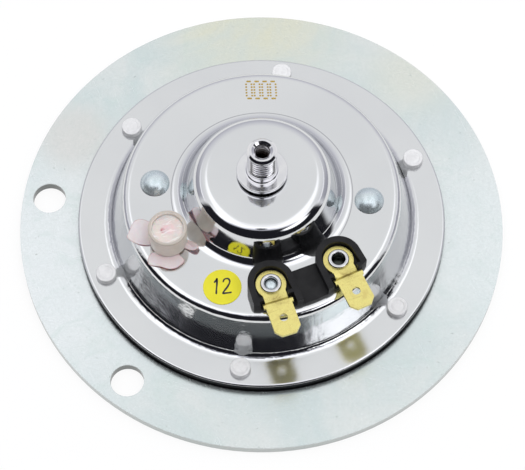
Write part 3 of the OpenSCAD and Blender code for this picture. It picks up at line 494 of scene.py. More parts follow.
def make_finishes():
    """One finish for each material slot of the record, and two inks. A worked() finish gives its two
    tones, its range of roughness, how metallic it is, and the fineness of its blotches and its grain."""
    return {
        "zinc_steel": zinc_plate(),
        "chromed_steel": chrome(),
        "plated_steel": turned_bright(),
        "brass": brass(),
        "compound": poured_wax(),
        "soft_skirt": skirt_plastic(),
        "cap_plastic": waxy_tube(),
        "spring_steel": diaphragm_steel(),
        "nickel": eyelet_nickel(),
        "gasket": worked("black_gasket", ((0.006, 0.006, 0.007), (0.014, 0.014, 0.014)), (0.6, 0.8),
                         metal=0.0, blotch=0.3, grain=5.0, bump=0.03, Specular_IOR_Level=0.15),
        "rivet_aluminium": worked("pressed_aluminium", ((0.74, 0.74, 0.74), (0.81, 0.81, 0.81)), (0.42, 0.58),
                                  metal=0.35, blotch=0.8, grain=5.0, bump=0.012),
        "plain_steel": worked("plain_steel", ((0.42, 0.42, 0.43), (0.56, 0.56, 0.57)), (0.3, 0.45),
                              metal=1.0, blotch=0.2, grain=4.0),
        "blue_zinc": worked("bluish_zinc", ((0.58, 0.67, 0.70), (0.66, 0.73, 0.75)), (0.24, 0.36),
                            metal=0.75, blotch=0.5, grain=2.0, bump=0.03),
        "bobbin_plastic": worked("bobbin_nylon", ((0.74, 0.68, 0.56), (0.80, 0.75, 0.64)), (0.4, 0.5),
                                 metal=0.0, blotch=0.2, grain=2.0),
        "copper_wire": worked("enamelled_copper", ((0.60, 0.20, 0.07), (0.75, 0.30, 0.12)), (0.2, 0.35),
                              metal=1.0, blotch=0.8, grain=3.0, bump=0.04),
        "painted_disc": worked("satin_black_paint", ((0.02, 0.02, 0.022), (0.04, 0.04, 0.042)), (0.3, 0.42),
                               metal=0.0, blotch=0.1, grain=2.5, bump=0.01),
        "black_plastic": worked("moulded_black", ((0.009, 0.009, 0.01), (0.016, 0.016, 0.017)), (0.38, 0.55),
                                metal=0.0, blotch=0.3, grain=4.0, bump=0.015, Specular_IOR_Level=0.2),
        "fibre": worked("pressed_fibre", ((0.16, 0.07, 0.03), (0.28, 0.14, 0.06)), (0.6, 0.8),
                        metal=0.0, blotch=0.8, grain=3.0, bump=0.03),
        "bronze_leaf": worked("spring_bronze", ((0.60, 0.38, 0.16), (0.72, 0.48, 0.22)), (0.22, 0.34),
                              metal=1.0, blotch=0.2, grain=4.0),
        "contact_metal": worked("ground_tungsten", ((0.5, 0.5, 0.52), (0.6, 0.6, 0.62)), (0.3, 0.45),
                                metal=1.0, blotch=0.6, grain=6.0),
        "yellow_paper": worked("yellow_paper", ((0.71, 0.655, 0.011), (0.76, 0.70, 0.016)), (0.45, 0.6),
                               metal=0.0, blotch=0.3, grain=5.0, bump=0.006, Coat_Weight=0.1,
                               Coat_Roughness=0.3),
        "marker_ink": worked("marker_ink", ((0.01, 0.01, 0.012), (0.03, 0.03, 0.04)), (0.4, 0.6),
                             metal=0.0, blotch=2.0, grain=8.0, bump=0.004),
        "dot_ink": worked("ochre_ink", ((0.36, 0.23, 0.03), (0.45, 0.31, 0.06)), (0.4, 0.6),
                          metal=0.0, blotch=2.0, grain=8.0, bump=0.004),
    }


make_camera()
FINISH = make_finishes()
SLOT_OF = {row["node"]: row["material_slot"] for row in frame["record"]["subparts"]}
for node_name, node_object in frame["nodes"].items():
    node_object.data.materials.clear()
    node_object.data.materials.append(FINISH[SLOT_OF[node_name]])


# Shapes
def unit(vector):
    """The same direction with length 1."""
    return vector / np.linalg.norm(vector)


def rounded(corners, radii, steps=BEND_STEPS, support=0.15):
    """A line through the corners with each inner corner replaced by an arc: it starts radius x
    tan(turn / 2) before the corner and is tangent to both sides. A support point stands a little
    before and after each arc, so that the flats stay flat under smooth shading."""
    corners = np.asarray(corners, float)
    line = [corners[0]]
    for i in range(1, len(corners) - 1):
        if radii[i] == 0:
            line.append(corners[i])
            continue
        a = unit(corners[i] - corners[i - 1])
        b = unit(corners[i + 1] - corners[i])
        turn = math.atan2(a[0] * b[1] - a[1] * b[0], a @ b)
        start = corners[i] - a * radii[i] * math.tan(abs(turn) / 2)
        centre = start + math.copysign(radii[i], turn) * np.array([-a[1], a[0]])
        angles = np.linspace(0.0, turn, steps + 1)
        arm = start - centre
        arc = np.stack([arm[0] * np.cos(angles) - arm[1] * np.sin(angles),
                        arm[0] * np.sin(angles) + arm[1] * np.cos(angles)], axis=1) + centre
        line.extend([start - a * support, *arc, arc[-1] + b * support])
    line.append(corners[-1])
    return np.array(line)


def grid_faces(rows, columns, wrap_rows=True, wrap_columns=False):
    """Quads between neighbours of a grid of points, closed round where it wraps."""
    i = np.arange(rows if wrap_rows else rows - 1)[:, None]
    j = np.arange(columns if wrap_columns else columns - 1)[None, :]
    i_next = (i + 1) % rows
    j_next = (j + 1) % columns
    corners = [i * columns + j, i_next * columns + j, i_next * columns + j_next, i * columns + j_next]
    return np.stack([np.broadcast_to(c, (i.size, j.size)) for c in corners], axis=-1).reshape(-1, 4)


def piece(name, finish, points, faces, slot=None, attribute=None):
    """A mesh in metres from points in millimetres: doubles merged, faces turned outwards, smooth
    except at edges sharper than 38 degrees."""
    mesh = bpy.data.meshes.new(name)
    mesh.from_pydata((np.asarray(points).reshape(-1, 3) * MM).tolist(), [], np.asarray(faces).tolist())
    if attribute is not None:
        layer = mesh.attributes.new(attribute[0], "FLOAT", "POINT")
        layer.data.foreach_set("value", np.asarray(attribute[1], np.float32).ravel())
    work = bmesh.new()
    work.from_mesh(mesh)
    bmesh.ops.remove_doubles(work, verts=work.verts, dist=MERGE * MM)
    bmesh.ops.recalc_face_normals(work, faces=work.faces)
    work.to_mesh(mesh)
    work.free()
    mesh.polygons.foreach_set("use_smooth", [True] * len(mesh.polygons))
    mesh.set_sharp_from_angle(angle=math.radians(38))
    return add_piece(name, mesh, finish)


def add_piece(name, mesh, finish):
    """Links a mesh as a piece that rides on the horn's body, with the finish of its material
    slot."""
    made = bpy.data.objects.new(name, mesh)
    bpy.context.scene.collection.objects.link(made)
    mesh.materials.clear()
    mesh.materials.append(FINISH[finish])
    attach(made, "horn_body")
    return made


def full_turn(steps):
    """Even angles round a full turn, as a column."""
    return np.linspace(0.0, 2 * math.pi, steps, endpoint=False)[:, None]


def turned(profile, middle=(0.0, 0.0), steps=ROUND_STEPS, closed=False):
    """A profile carried round an upright axis: the point (r, z) goes to (r cos a, r sin a, z)."""
    profile = np.asarray(profile, float)
    a = full_turn(steps)
    r, z = profile[None, :, 0], profile[None, :, 1]
    points = np.stack(np.broadcast_arrays(r * np.cos(a) + middle[0], r * np.sin(a) + middle[1], z), axis=-1)
    return points, grid_faces(steps, len(profile), True, closed)


def several(points, faces, places):
    """The same shape at several places (x, y), as one list of points and faces."""
    points = np.asarray(points).reshape(-1, 3)
    shifts = np.array([[x, y, 0.0] for x, y in places])
    firsts = np.arange(len(places)) * len(points)
    all_points = (points[None] + shifts[:, None]).reshape(-1, 3)
    all_faces = (faces[None] + firsts[:, None, None]).reshape(-1, faces.shape[1])
    return all_points, all_faces


def joined(shapes):
    """Different shapes, each of points and faces, as one list of points and faces."""
    firsts = np.cumsum([0] + [len(points) for points, faces in shapes[:-1]])
    all_faces = [faces + first for (points, faces), first in zip(shapes, firsts)]
    return np.vstack([points for points, faces in shapes]), np.vstack(all_faces)


def around(radius, degrees):
    """Point at a radius and an angle round the horn's axis."""
    return radius * math.cos(math.radians(degrees)), radius * math.sin(math.radians(degrees))


def shifted(corners, distance):
    """Corners of a line moved sideways so that both sides keep the distance: each goes by distance x
    (m + n) / (1 + m . n), with m and n the unit normals of the sides before and after it."""
    corners = np.asarray(corners, float)
    sides = corners[1:] - corners[:-1]
    sides /= np.linalg.norm(sides, axis=1)[:, None]
    across = np.stack([-sides[:, 1], sides[:, 0]], axis=1)
    before = np.vstack([across[:1], across])
    after = np.vstack([across, across[-1:]])
    return corners + distance * (before + after) / (1 + (before * after).sum(axis=1))[:, None]


def make_housing():
    """The pressed body: its outer line turned round the axis, and the same line one sheet lower. A
    leaning wall gets wider downwards by its height x tan(lean)."""
    outer = np.array([(0.0, CAP_Z), (CAP_TOP_R, CAP_Z), (CAP_FOOT_R, SHELF_Z), (SHOULDER_R, SHELF_Z),
                      (BODY_FOOT_R, FLANGE_TOP_Z), (RIM_R, FLANGE_TOP_Z)])
    inner = shifted(outer, -SHEET)
    over = rounded(outer, [0, CAP_TOP_BEND, CAP_FOOT_BEND, SHOULDER_BEND, FOOT_BEND, 0])
    under = rounded(inner, [0, CAP_TOP_BEND - SHEET, CAP_FOOT_BEND + SHEET, SHOULDER_BEND - SHEET,
                            FOOT_BEND + SHEET, 0])
    edge_r = RIM_R - 1.0
    edge = rounded([(edge_r, FLANGE_TOP_Z), (RIM_R, FLANGE_TOP_Z), (RIM_R, FLANGE_Z), (edge_r, FLANGE_Z)],
                   [0, 0.6, 0.15, 0], 6, 0.05)
    line = np.vstack([over[:-1], edge, under[-2::-1]])
    housing = piece("pressed_housing", "chromed_steel", *turned(line))
    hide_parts("housing")


def make_rim_rivets():
    """Rivet line: flush front head, shank, closed head with a soft edge, a shallow ring and a dished
    top. Six stand evenly on a circle in the middle of the flange."""
    front_r, shank_r, head_r = 2.9, 1.6, 2.5
    low_z, top_z = FLANGE_TOP_Z, FLANGE_TOP_Z + 1.5
    line = rounded([(0, 0), (front_r, 0), (shank_r, 1.5), (shank_r, low_z), (head_r, low_z),
                    (head_r - 0.1, top_z), (1.75, top_z - 0.08), (1.5, top_z - 0.2), (0.9, top_z - 0.14),
                    (0, top_z - 0.14)], [0, 0.1, 0, 0, 0.1, 0.22, 0.2, 0.2, 0.3, 0], 5, 0.04)
    line[:, 0] = np.minimum(line[:, 0], front_r)
    circle_r = (RIM_R + BODY_FOOT_R) / 2 - 0.2
    places = [around(circle_r, 60 * i) for i in range(6)]
    made = piece("rim_rivet_set", "rivet_aluminium", *several(*turned(line, steps=48), places))
    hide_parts("rim_rivets")


def make_domed_rivets():
    """Domed head: the slice of a ball that has the head's width and height, its edge turned in. The
    ball's radius is (width squared / 4 + height squared) / (2 x height)."""
    width, height, shank = 7.1, 2.3, 2.1
    ball = (width * width / 4 + height * height) / (2 * height)
    top = np.linspace(0.0, 1.0, 25) * math.asin(width / 2 / ball)
    head = np.stack([ball * np.sin(top), SHELF_Z + height - ball + ball * np.cos(top)], axis=1)
    head[-1] = (width / 2 - 0.05, SHELF_Z + 0.12)
    foot_z = SHELF_Z - SHEET - 2.5
    tail = [(width / 2 - 0.12, SHELF_Z + 0.01), (shank, SHELF_Z + 0.01), (shank, foot_z + 1),
            (shank + 1, foot_z + 1), (shank + 1, foot_z), (0, foot_z)]
    shape = turned(np.vstack([head, tail]), steps=72)
    places = [around(SHELF_CIRCLE_R, angle) for angle in (152, 332)]
    made = piece("domed_rivet_pair", "blue_zinc", *several(*shape, places))
    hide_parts("yoke_rivets")


def make_stud():
    """Turned stud. Its line runs from the axis below, up the outside, over the tip and down the bore.
    In the threaded zones the radius is drawn in by depth x wave(z / pitch - a / full turn)."""
    pitch, depth, bore_depth = 1.0, 0.55, 0.3
    neck_r, flange_r, thread_r = 3.7, 6.0, 3.5
    flange_z = CAP_Z + 0.9
    seat_z = flange_z + 1.0
    collar_z = seat_z + 2.0
    foot_z = STUD_LOW[2]
    bore_foot_z = STUD_TIP_Z - 11.0
    corners = [(0, foot_z), (3.0, foot_z), (3.0, CAP_Z - 1.2), (neck_r, CAP_Z - 1.2), (neck_r, flange_z),
               (flange_r, flange_z), (flange_r, seat_z), (neck_r, seat_z), (neck_r, collar_z),
               (thread_r, collar_z + 0.1), (thread_r, STUD_TIP_Z - 0.7), (2.95, STUD_TIP_Z),
               (2.5, STUD_TIP_Z), (STUD_BORE_R, STUD_TIP_Z - 0.5), (STUD_BORE_R, bore_foot_z),
               (0, bore_foot_z)]
    radii = [0, 0, 0, 0, 0.1, 0.18, 0.18, 0.25, 0.15, 0.05, 0.12, 0.12, 0.08, 0.05, 0, 0]
    line = rounded(corners, radii, 4, 0.04)
    line = fill_line(line, 0.07, collar_z - 0.1, STUD_TIP_Z, 1.8)
    points, faces = turned(line, steps=120)
    a = full_turn(120)
    r, z = line[None, :, 0], line[None, :, 1]
    wave = 0.5 - 0.5 * np.cos(2 * math.pi * (z / pitch - a / (2 * math.pi)))
    outside = np.clip((z - collar_z - 0.25) / 0.5, 0, 1) * np.clip((STUD_TIP_Z - 1.1 - z) / 0.15, 0, 1)
    outside = outside * (r > 3.2)
    inside = np.clip((STUD_TIP_Z - 0.8 - z) / 0.4, 0, 1) * np.clip((z - bore_foot_z - 1) / 0.5, 0, 1)
    inside = inside * (np.abs(r - STUD_BORE_R) < 0.01)
    groove = depth * wave * outside + bore_depth * wave * inside
    share = 1 - groove / np.maximum(r, 0.5)
    points[..., :2] *= share[..., None]
    made = piece("threaded_stud", "plated_steel", points, faces)
    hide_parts("mounting_stud")


def fill_line(line, step, low, high, least_r):
    """Adds a point every step along the stretches of a line that are steep, between the two heights
    and further out than the least radius."""
    filled = [line[0]]
    for before, after in zip(line[:-1], line[1:]):
        middle_z = (before[1] + after[1]) / 2
        steep = abs(after[1] - before[1]) > 2 * step and min(before[0], after[0]) > least_r
        if steep and low < middle_z < high:
            count = int(abs(after[1] - before[1]) / step)
            share = np.linspace(0, 1, count + 1)[1:-1, None]
            filled.extend(before + (after - before) * share)
        filled.append(after)
    return np.array(filled)


def softened(node, name, width, segments=2):
    """A merged copy of a CAD node, its edges sharper than 30 degrees rounded over a width."""
    sharp = math.radians(30)
    mesh = bpy.data.meshes.new(name)
    work = bmesh.new()
    work.from_mesh(frame["nodes"][node].data)
    bmesh.ops.remove_doubles(work, verts=work.verts, dist=MERGE * MM)
    bmesh.ops.dissolve_limit(work, angle_limit=math.radians(1.0), verts=work.verts, edges=work.edges,
                             delimit={"NORMAL"})
    work.to_mesh(mesh)
    work.free()
    mesh.polygons.foreach_set("use_smooth", [True] * len(mesh.polygons))
    mesh.set_sharp_from_angle(angle=sharp)
    made = add_piece(name, mesh, SLOT_OF[node])
    bevel = made.modifiers.new("edges", "BEVEL")
    bevel.width = width * MM
    bevel.segments = segments
    bevel.limit_method = "ANGLE"
    bevel.angle_limit = sharp
    bevel.use_clamp_overlap = True
    bevel.harden_normals = True
    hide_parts(node)


def make_eyelets():
    """Eyelet line: tube with its rim rolled outwards, a quarter circle from the rim into the bore. The
    right one is closed below, the left one holds a pin, whose head is half an oval in section."""
    bore, tube, rim, lip = 1.5, 1.9, 2.5, 0.45
    for side, pin in (("left", "eyelet_pin"), ("right", None)):
        node = "terminal_eyelet_" + side
        low, high = node_box(node)
        middle = ((low + high) / 2)[:2]
        foot_z, rim_z = low[2], high[2]
        corners = [(bore, foot_z), (tube + 0.9, foot_z), (tube + 0.9, foot_z + 0.5), (tube, foot_z + 0.5),
                   (tube, rim_z - 0.8), (rim, rim_z - 0.8), (rim, rim_z), (bore, rim_z)]
        line = rounded(corners, [0, 0.1, 0.1, 0, 0, 0.15, 0.4, 0], 6, 0.03)[:-1]
        inward = np.linspace(0.0, 1.0, 7) * math.pi / 2
        lip_line = [bore + lip - lip * np.sin(inward), rim_z - lip + lip * np.cos(inward)]
        line = np.vstack([line, np.stack(lip_line, axis=1)])
        if not pin:
            floor_z = rim_z - 2.6
            floor_line = [(bore, floor_z + 0.3), (bore - 0.3, floor_z), (0, floor_z + 0.12)]
            line = np.vstack([[(0, foot_z)], line[1:], floor_line])
        made = piece("rolled_eyelet_" + side, "nickel", *turned(line, middle, 64, bool(pin)))
        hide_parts(node)
        if pin:
            pin_low, pin_high = node_box(pin)
            pin_r = (pin_high[0] - pin_low[0]) / 2
            up = np.linspace(0.0, math.pi / 2, 13)
            cap = np.stack([pin_r * np.sin(up), pin_high[2] - 0.8 + 0.8 * np.cos(up)], axis=1)
            pin_line = np.vstack([cap, [(pin_r, pin_low[2]), (0, pin_low[2])]])
            head = piece("eyelet_pin_head", "blue_zinc", *turned(pin_line, middle, 48))
            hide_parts(pin)


def make_seal():
    """Tube with round lips, and the compound poured in it, whose top is a sum of slow waves and climbs
    at the wall with the sixth power of the radius. The lobed skirt lies below."""
    middle = TUBE_MIDDLE[:2]
    foot_z, top_z = TUBE_LOW[2], TUBE_HIGH[2]
    bore_r, foot_r = TUBE_R - TUBE_WALL, TUBE_R - 1.1
    corners = [(foot_r, foot_z), (TUBE_R - 0.25, foot_z), (TUBE_R, top_z), (bore_r, top_z),
               (bore_r, foot_z), (foot_r, foot_z)]
    line = rounded(corners, [0, 0.15, 0.32, 0.32, 0, 0], 6, 0.1)[1:]
    tube = piece("seal_tube", "cap_plastic", *turned(line, middle, 96, True))
    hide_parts("seal_cap")

    low, high = node_box("seal_compound")
    r = np.linspace(0.0, 1.0, 26)[None, :] * (bore_r - 0.03)
    a = full_turn(96)
    x, y = r * np.cos(a), r * np.sin(a)
    top = high[2] - 0.35 + 0.10 * np.sin(2.1 * x + 0.6) * np.cos(1.7 * y)
    top = top + 0.06 * np.sin(3.9 * y - 1.1 + 1.3 * x) + 0.28 * (r / r.max()) ** 6
    top = np.minimum(top, high[2])
    upper = np.stack([x, y, top], axis=-1)
    lower = np.stack([x[:, ::-1], y[:, ::-1], np.full(x.shape, low[2])], axis=-1)[:, ::25]
    points = np.concatenate([upper, lower], axis=1) + np.array([*middle, 0.0])
    filling = piece("poured_seal", "compound", points, grid_faces(96, points.shape[1]))
    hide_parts("seal_compound")
    make_skirt(middle)


def smooth_between(a, b, c, d, f):
    """Smooth curve from b to c with neighbours a and d: the point at share f of the way is (2 b +
    (c - a) f + (2 a - 5 b + 4 c - d) f^2 + (3 b - a - 3 c + d) f^3) / 2."""
    return 0.5 * (2 * b + (c - a) * f + (2 * a - 5 * b + 4 * c - d) * f ** 2
                  + (3 * b - a - 3 * c + d) * f ** 3)


def closed_curve(corners, steps):
    """Smooth closed curve through the corners."""
    corners = np.asarray(corners, float)
    u = np.linspace(0.0, len(corners), steps, endpoint=False)
    i = u.astype(int)
    return smooth_between(*(corners[(i + k) % len(corners)] for k in (-1, 0, 1, 2)), (u - i)[:, None])


# Outline of each lobe of the skirt, from the middle of the tube
LEFT_LOBE = [(-2.6, 0.4), (-1.6, 3.2), (-2.2, 6.0), (-3.6, 7.5), (-4.9, 7.9), (-6.2, 7.4), (-7.5, 6.0),
             (-8.5, 4.9), (-8.5, 4.1), (-7.5, 2.5), (-6.0, 1.3), (-4.4, 0.6)]
NEAR_LOBE = [(-1.6, -1.6), (-4.6, -1.4), (-6.0, -2.3), (-6.5, -3.4), (-6.3, -4.2), (-5.4, -4.9), (-4.2, -5.6),
             (-3.1, -6.6), (-2.0, -7.2), (-0.6, -7.3), (0.7, -6.9), (1.5, -6.3), (1.5, -5.5), (1.0, -4.2),
             (0.4, -2.6)]
RIGHT_LOBE = [(1.6, -0.8), (3.6, -1.1), (4.7, -1.0), (5.7, -1.5), (6.3, -2.6), (6.2, -3.9), (5.6, -4.9),
              (4.7, -5.1), (3.8, -4.5), (3.1, -3.6), (1.9, -2.4)]
FAR_LOBE = [(-0.4, 1.6), (-1.2, 3.6), (-0.6, 5.6), (1.0, 6.9), (3.0, 6.8), (4.3, 5.4), (4.4, 3.6),
            (3.4, 2.0), (1.6, 0.9)]


def make_skirt(middle):
    """A point of a lobe at share s of the way from the lobe's middle to its outline. It is lifted by
    curl x its reach from the tube squared x (0.4 + 0.6 s squared), and by a slow wave. Lobes that would
    meet the foot of the cap are pulled outwards."""
    lobes = ((LEFT_LOBE, 0.3), (NEAR_LOBE, 0.2), (RIGHT_LOBE, 1.3), (FAR_LOBE, 0.4))
    thick = 0.36
    s = np.linspace(0.0, 1.0, 17)[None, :]
    t = full_turn(96)
    shapes, edges = [], []
    for index, (outline, curl) in enumerate(lobes):
        rim_line = closed_curve(outline, 96)
        heart = rim_line.mean(axis=0)
        x = heart[0] + (rim_line[:, :1] - heart[0]) * s
        y = heart[1] + (rim_line[:, 1:] - heart[1]) * s
        reach = np.clip((np.hypot(x, y) - TUBE_R + 0.6) / 3.2, 0, 1)
        lift = curl * reach ** 2 * (0.4 + 0.6 * s ** 2) + 0.05 * np.sin(2 * t + 2 * index) * s
        across, along = x + middle[0], y + middle[1]
        radius = np.hypot(across, along)
        pull = np.maximum(radius, SHELF_INNER_R + 0.62 - 0.9 * np.clip(lift, 0, None)) / radius
        over = np.clip(radius - SHELF_EDGE_R, 0, None)
        across, along = across * pull, along * pull
        low = SHELF_Z + 0.02 + np.clip(lift, 0, None) * np.clip(1 - over, 0.3, 1)
        high = low + thick * (1 - 0.35 * s ** 4)
        rim = np.stack([across[:, -1:], along[:, -1:], (low[:, -1:] + high[:, -1:]) / 2], axis=-1)
        upper = np.stack([across, along, high], axis=-1)
        lower = np.stack([across, along, low], axis=-1)[:, ::-1]
        points = np.concatenate([upper, rim, lower], axis=1)
        edge = np.concatenate([np.broadcast_to(s, x.shape), np.ones_like(x[:, :1]),
                               np.broadcast_to(s[:, ::-1], x.shape)], axis=1)
        shapes.append((points.reshape(-1, 3), grid_faces(*points.shape[:2])))
        edges.append(edge.ravel())
    skirt = piece("skirt_lobes", "soft_skirt", *joined(shapes), attribute=("edge", np.concatenate(edges)))
    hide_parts("seal_skirt")


def stroke(points, width, steps, seed):
    """The two sides of a pen line: a smooth open curve through the points, with a half width that
    swells and thins as 1 + 0.12 x sin(3 x place + seed) and rounds off at the ends."""
    points = np.asarray(points, float)
    u = np.linspace(0, len(points) - 1, steps)
    i = np.clip(u.astype(int), 0, len(points) - 2)
    before, after = points[np.maximum(i - 1, 0)], points[np.minimum(i + 2, len(points) - 1)]
    line = smooth_between(before, points[i], points[i + 1], after, (u - i)[:, None])
    along = np.gradient(line, axis=0)
    along /= np.linalg.norm(along, axis=1)[:, None]
    across = np.stack([-along[:, 1], along[:, 0]], axis=1)
    end = np.sqrt(np.clip(1 - (2 * np.linspace(0, 1, steps) - 1) ** 12, 0.05, 1))
    half = width / 2 * (1 + 0.12 * np.sin(3.0 * u + seed)) * end
    return line - across * half[:, None], line + across * half[:, None]


def ribbon(left, right, low, high):
    """Closed flat band between two lines, from one height to another."""
    def at(line, z):
        """The line at a height."""
        return np.column_stack([line, np.full(len(line), z)])

    points = np.stack([at(left, low), at(right, low), at(right, high), at(left, high)], axis=1)
    faces = grid_faces(len(left), 4, False, True)
    last = (len(left) - 1) * 4
    ends = np.array([[0, 3, 2, 1], [last, last + 1, last + 2, last + 3]])
    return points.reshape(-1, 3), np.vstack([faces, ends])


def make_spot():
    """Round paper spot, and on it a generic number of two pen strokes."""
    top_z = SPOT_HIGH[2]
    line = rounded([(0, SHELF_Z), (SPOT_R, SHELF_Z), (SPOT_R, top_z), (0, top_z)], [0, 0.02, 0.06, 0], 3,
                   0.02)
    spot = piece("yellow_spot", "yellow_paper", *turned(line, SPOT_MIDDLE[:2], 96))
    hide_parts("paper_spot")
    strokes = [[(-1.55, 0.9), (-1.1, 1.5), (-1.0, 1.75), (-1.02, 0.6), (-1.12, -0.6), (-1.18, -1.5)],
               [(0.15, 0.95), (0.45, 1.6), (1.15, 1.7), (1.45, 1.05), (1.05, 0.1), (0.45, -0.75),
                (0.1, -1.35), (0.75, -1.3), (1.35, -1.25), (1.8, -1.1)]]
    size, pen = 1.22, 0.42
    turn = VIEW_TURN + math.radians(2)
    rotation = np.array([[math.cos(turn), -math.sin(turn)], [math.sin(turn), math.cos(turn)]])
    shapes = []
    for seed, line in enumerate(strokes):
        left, right = stroke(np.array(line) * size, pen, 60, seed)
        left, right = left @ rotation.T + SPOT_MIDDLE[:2], right @ rotation.T + SPOT_MIDDLE[:2]
        shapes.append(ribbon(left, right, top_z - 0.02, top_z + 0.015))
    piece("spot_number", "marker_ink", *joined(shapes), slot="yellow_paper")


def make_shelf_number():
    """Four noughts of printed dots: a dot wherever just one of its column and its row is an outer one.
    A dot stands at far_left + u x (far_right - far_left) + v x (near_left - far_left) on the shelf."""
    far_left = np.array([8.06, 29.65])
    far_right = np.array([15.28, 26.63])
    near_left = np.array([6.44, 25.14])
    digits, columns, rows = 4, 5, 7
    digit, column, row = np.meshgrid(np.arange(digits), np.arange(columns), np.arange(rows), indexing="ij")
    shown = ((column % (columns - 1)) == 0) ^ ((row % (rows - 1)) == 0)
    u = ((digit + (column / (columns - 1)) * 0.68 + 0.1) / digits)[shown]
    v = (row / (rows - 1))[shown]
    places = far_left + u[:, None] * (far_right - far_left) + v[:, None] * (near_left - far_left)
    dot_r = 0.26
    line = [(0, SHELF_Z - 0.01), (dot_r, SHELF_Z - 0.01), (dot_r, SHELF_Z + 0.008), (0, SHELF_Z + 0.012)]
    piece("shelf_number", "dot_ink", *several(*turned(line, steps=10), places), slot="yellow_paper")


make_housing()
make_rim_rivets()
make_domed_rivets()
make_stud()
softened("mounting_plate", "fixing_plate", 0.22, segments=3)
softened("terminal_block", "terminal_moulding", 0.14)
softened("terminal_blade_left", "blade_left", 0.1)
softened("terminal_blade_right", "blade_right", 0.1)
make_eyelets()
make_seal()
make_spot()
make_shelf_number()


# Studio
FLOOR_R = 1400.0
TENT_R = 1500.0

# Tone of the tent's cloth over the way from its near edge (0) over the top to its far edge (1): dark low
# on the near side, a bright band above, then even, and dimmer to the far edge
OVER_BANDS = ((0.0, (0.012, 0.012, 0.015)), (0.29, (0.015, 0.015, 0.02)), (0.335, (0.92, 0.92, 1.02)),
              (0.38, (1.66, 1.66, 1.74)), (0.44, (1.28, 1.28, 1.31)), (0.56, (0.97, 0.98, 0.99)),
              (0.72, (0.945, 0.95, 0.965)), (0.86, (0.77, 0.77, 0.83)), (1.0, (0.54, 0.54, 0.61)))

# Tone of its cloth at the sides, from the table (0) to the top (1): grey, one bright band, then even
SIDE_BANDS = ((0.0, (0.40, 0.40, 0.46)), (0.29, (0.50, 0.50, 0.56)), (0.305, (1.3, 1.3, 1.36)),
              (0.335, (1.25, 1.25, 1.30)), (0.36, (0.84, 0.84, 0.89)), (0.60, (0.97, 0.98, 0.99)),
              (1.0, (0.97, 0.98, 0.99)))

# Oval spots of the cloth: turn to the right of the near side, height, half width and half height, all in
# degrees, and brightness. The last is the dark of the camera stand.
RIGHT_OPENING = (50.0, 36.0, 25.0, 9.0, 2.1)
LEFT_OPENING = (-63.0, 51.0, 16.0, 5.0, 1.5)
DARK_STAND = (0.0, 63.6, 14.0, 6.0, 0.08)


def studio_object(name, points, faces, material):
    """Links a mesh of the studio, from points in millimetres."""
    mesh = bpy.data.meshes.new(name)
    mesh.from_pydata((points * MM).tolist(), [], faces)
    mesh.materials.append(material)
    made = bpy.data.objects.new(name, mesh)
    bpy.context.scene.collection.objects.link(made)
    return made


def make_floor():
    """White table: a flat disc, a little below the horn, whose own tone carries its soft shadow."""
    f = Finish("white_table")
    rays = f.put("LightPath").outputs
    seen = f.calc("MAXIMUM", rays["Is Glossy Ray"], rays["Is Transmission Ray"])
    seen = f.calc("MAXIMUM", rays["Is Camera Ray"], seen)
    paper_tone = f.mix(f.noise(0.05, 2.0), (0.80, 0.80, 0.80), (0.83, 0.83, 0.83))
    paper = f.put("BsdfDiffuse", {"Color": paper_tone})
    glow = f.put("Emission", {"Color": (1, 1, 1, 1), "Strength": 1.02})
    mix = f.put("MixShader", {0: f.times(seen, 0.86), 1: paper.outputs[0], 2: glow.outputs[0]})
    f.tree.links.new(mix.outputs[0], f.output.inputs["Surface"])
    steps = 64
    a = full_turn(steps)[:, 0]
    points = np.stack([FLOOR_R * np.cos(a), FLOOR_R * np.sin(a), np.full(steps, -0.02)], axis=1)
    floor = studio_object("table", points, [list(range(steps))], f.material)


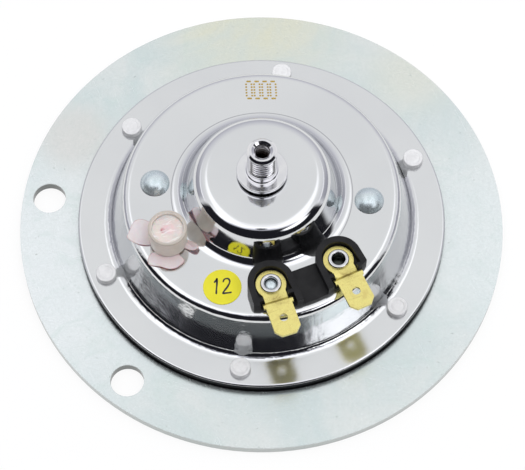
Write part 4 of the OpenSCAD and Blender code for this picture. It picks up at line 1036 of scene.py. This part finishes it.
def tent_tone(f):
    """Tone of the tent's cloth: the bands over the top, the bands of the sides where the turn is about
    a right angle, the dark room low on the near side, a bright panel high on each side, and the spots."""
    x, y, z = f.split(f.place)[:3]
    near = f.near_side()
    right = f.calc("SUBTRACT", f.times(y, NEAR_SIDE[0]), f.times(x, NEAR_SIDE[1]))
    over = f.calc("DIVIDE", f.calc("ARCTAN2", z, near), math.pi)
    height = f.calc("ARCSINE", f.calc("DIVIDE", z, TENT_R * MM))
    turn = f.calc("ARCTAN2", right, near)
    aside = f.calc("ABSOLUTE", turn)

    tone = f.banded(over, OVER_BANDS)
    sides = f.times(f.spread(aside, math.radians(84), math.radians(99), smooth=True),
                    f.spread(aside, math.radians(110), math.radians(150), 1.0, 0.0, True))
    tone = f.mix(sides, tone, f.banded(f.calc("DIVIDE", height, math.pi / 2), SIDE_BANDS))
    room = f.times(f.spread(height, math.radians(40), math.radians(45), 1.0, 0.0, True),
                   f.spread(aside, math.radians(82), math.radians(92), 1.0, 0.0, True))
    tone = f.mix(room, tone, (0.015, 0.015, 0.02))
    off = f.calc("DIVIDE", f.calc("ABSOLUTE", right), TENT_R * MM)
    panel = f.times(f.spread(off, 0.16, 0.32, smooth=True), f.spread(off, 0.5, 0.75, 1.0, 0.0, True))
    panel = f.times(panel, f.spread(height, math.radians(50), math.radians(60), smooth=True))
    tone = f.mix(f.times(panel, 0.85), tone, (1.55, 1.55, 1.6))
    for middle, rise, half_turn, half_rise, cloth in (RIGHT_OPENING, LEFT_OPENING, DARK_STAND):
        gap_turn = f.calc("DIVIDE", f.calc("SUBTRACT", turn, math.radians(middle)), math.radians(half_turn))
        gap_rise = f.calc("DIVIDE", f.calc("SUBTRACT", height, math.radians(rise)), math.radians(half_rise))
        gap = f.plus(f.times(gap_turn, gap_turn), f.times(gap_rise, gap_rise))
        tone = f.mix(f.spread(gap, 0.35, 1.0, 1.0, 0.0, True), tone, (cloth, cloth, 1.03 * cloth))
    return tone


def make_tent():
    """Light tent round the table: the point at turn a and height h is radius x (cos h cos a, cos h
    sin a, sin h). It glows at a plain level, and the camera looks through it."""
    f = Finish("tent_cloth")
    glow = f.put("Emission", {"Color": tent_tone(f), "Strength": 1.0})
    f.tree.links.new(glow.outputs[0], f.output.inputs["Surface"])
    a = full_turn(48)
    h = np.linspace(0, math.pi / 2, 13)[None, :]
    points = np.stack(np.broadcast_arrays(np.cos(h) * np.cos(a), np.cos(h) * np.sin(a), np.sin(h)), axis=-1)
    inward_faces = grid_faces(48, 13)[:, ::-1].tolist()
    tent = studio_object("tent", points.reshape(-1, 3) * TENT_R, inward_faces, f.material)
    tent.visible_camera = False
    tent.visible_shadow = False


def make_lamp(name, power, size, turn, height, distance):
    """Soft square lamp aimed at the horn, in watts, millimetres and degrees, its turn counted from the
    near side. It is not seen in the chrome."""
    data = bpy.data.lights.new(name, "AREA")
    data.energy = power
    data.size = size * MM
    lamp = bpy.data.objects.new(name, data)
    turn, height = VIEW_TURN + math.radians(turn), math.radians(height)
    back = Vector((math.sin(turn) * math.cos(height), -math.cos(turn) * math.cos(height), math.sin(height)))
    lamp.location = back * distance * MM
    lamp.rotation_euler = back.to_track_quat("Z", "Y").to_euler()
    lamp.visible_glossy = False
    bpy.context.scene.collection.objects.link(lamp)


def make_world():
    """Plain white world at strength 1, which is also the background beyond the table."""
    world = bpy.data.worlds.new("studio")
    bpy.context.scene.world = world
    world.use_nodes = True
    background = world.node_tree.nodes["Background"].inputs
    background["Color"].default_value = (1, 1, 1, 1)
    background["Strength"].default_value = 1.0


make_floor()
make_tent()
make_world()
make_lamp("soft_lamp_over", 2.4, 500, 30, 75, 900)
bpy.context.scene.view_settings.view_transform = "Standard"
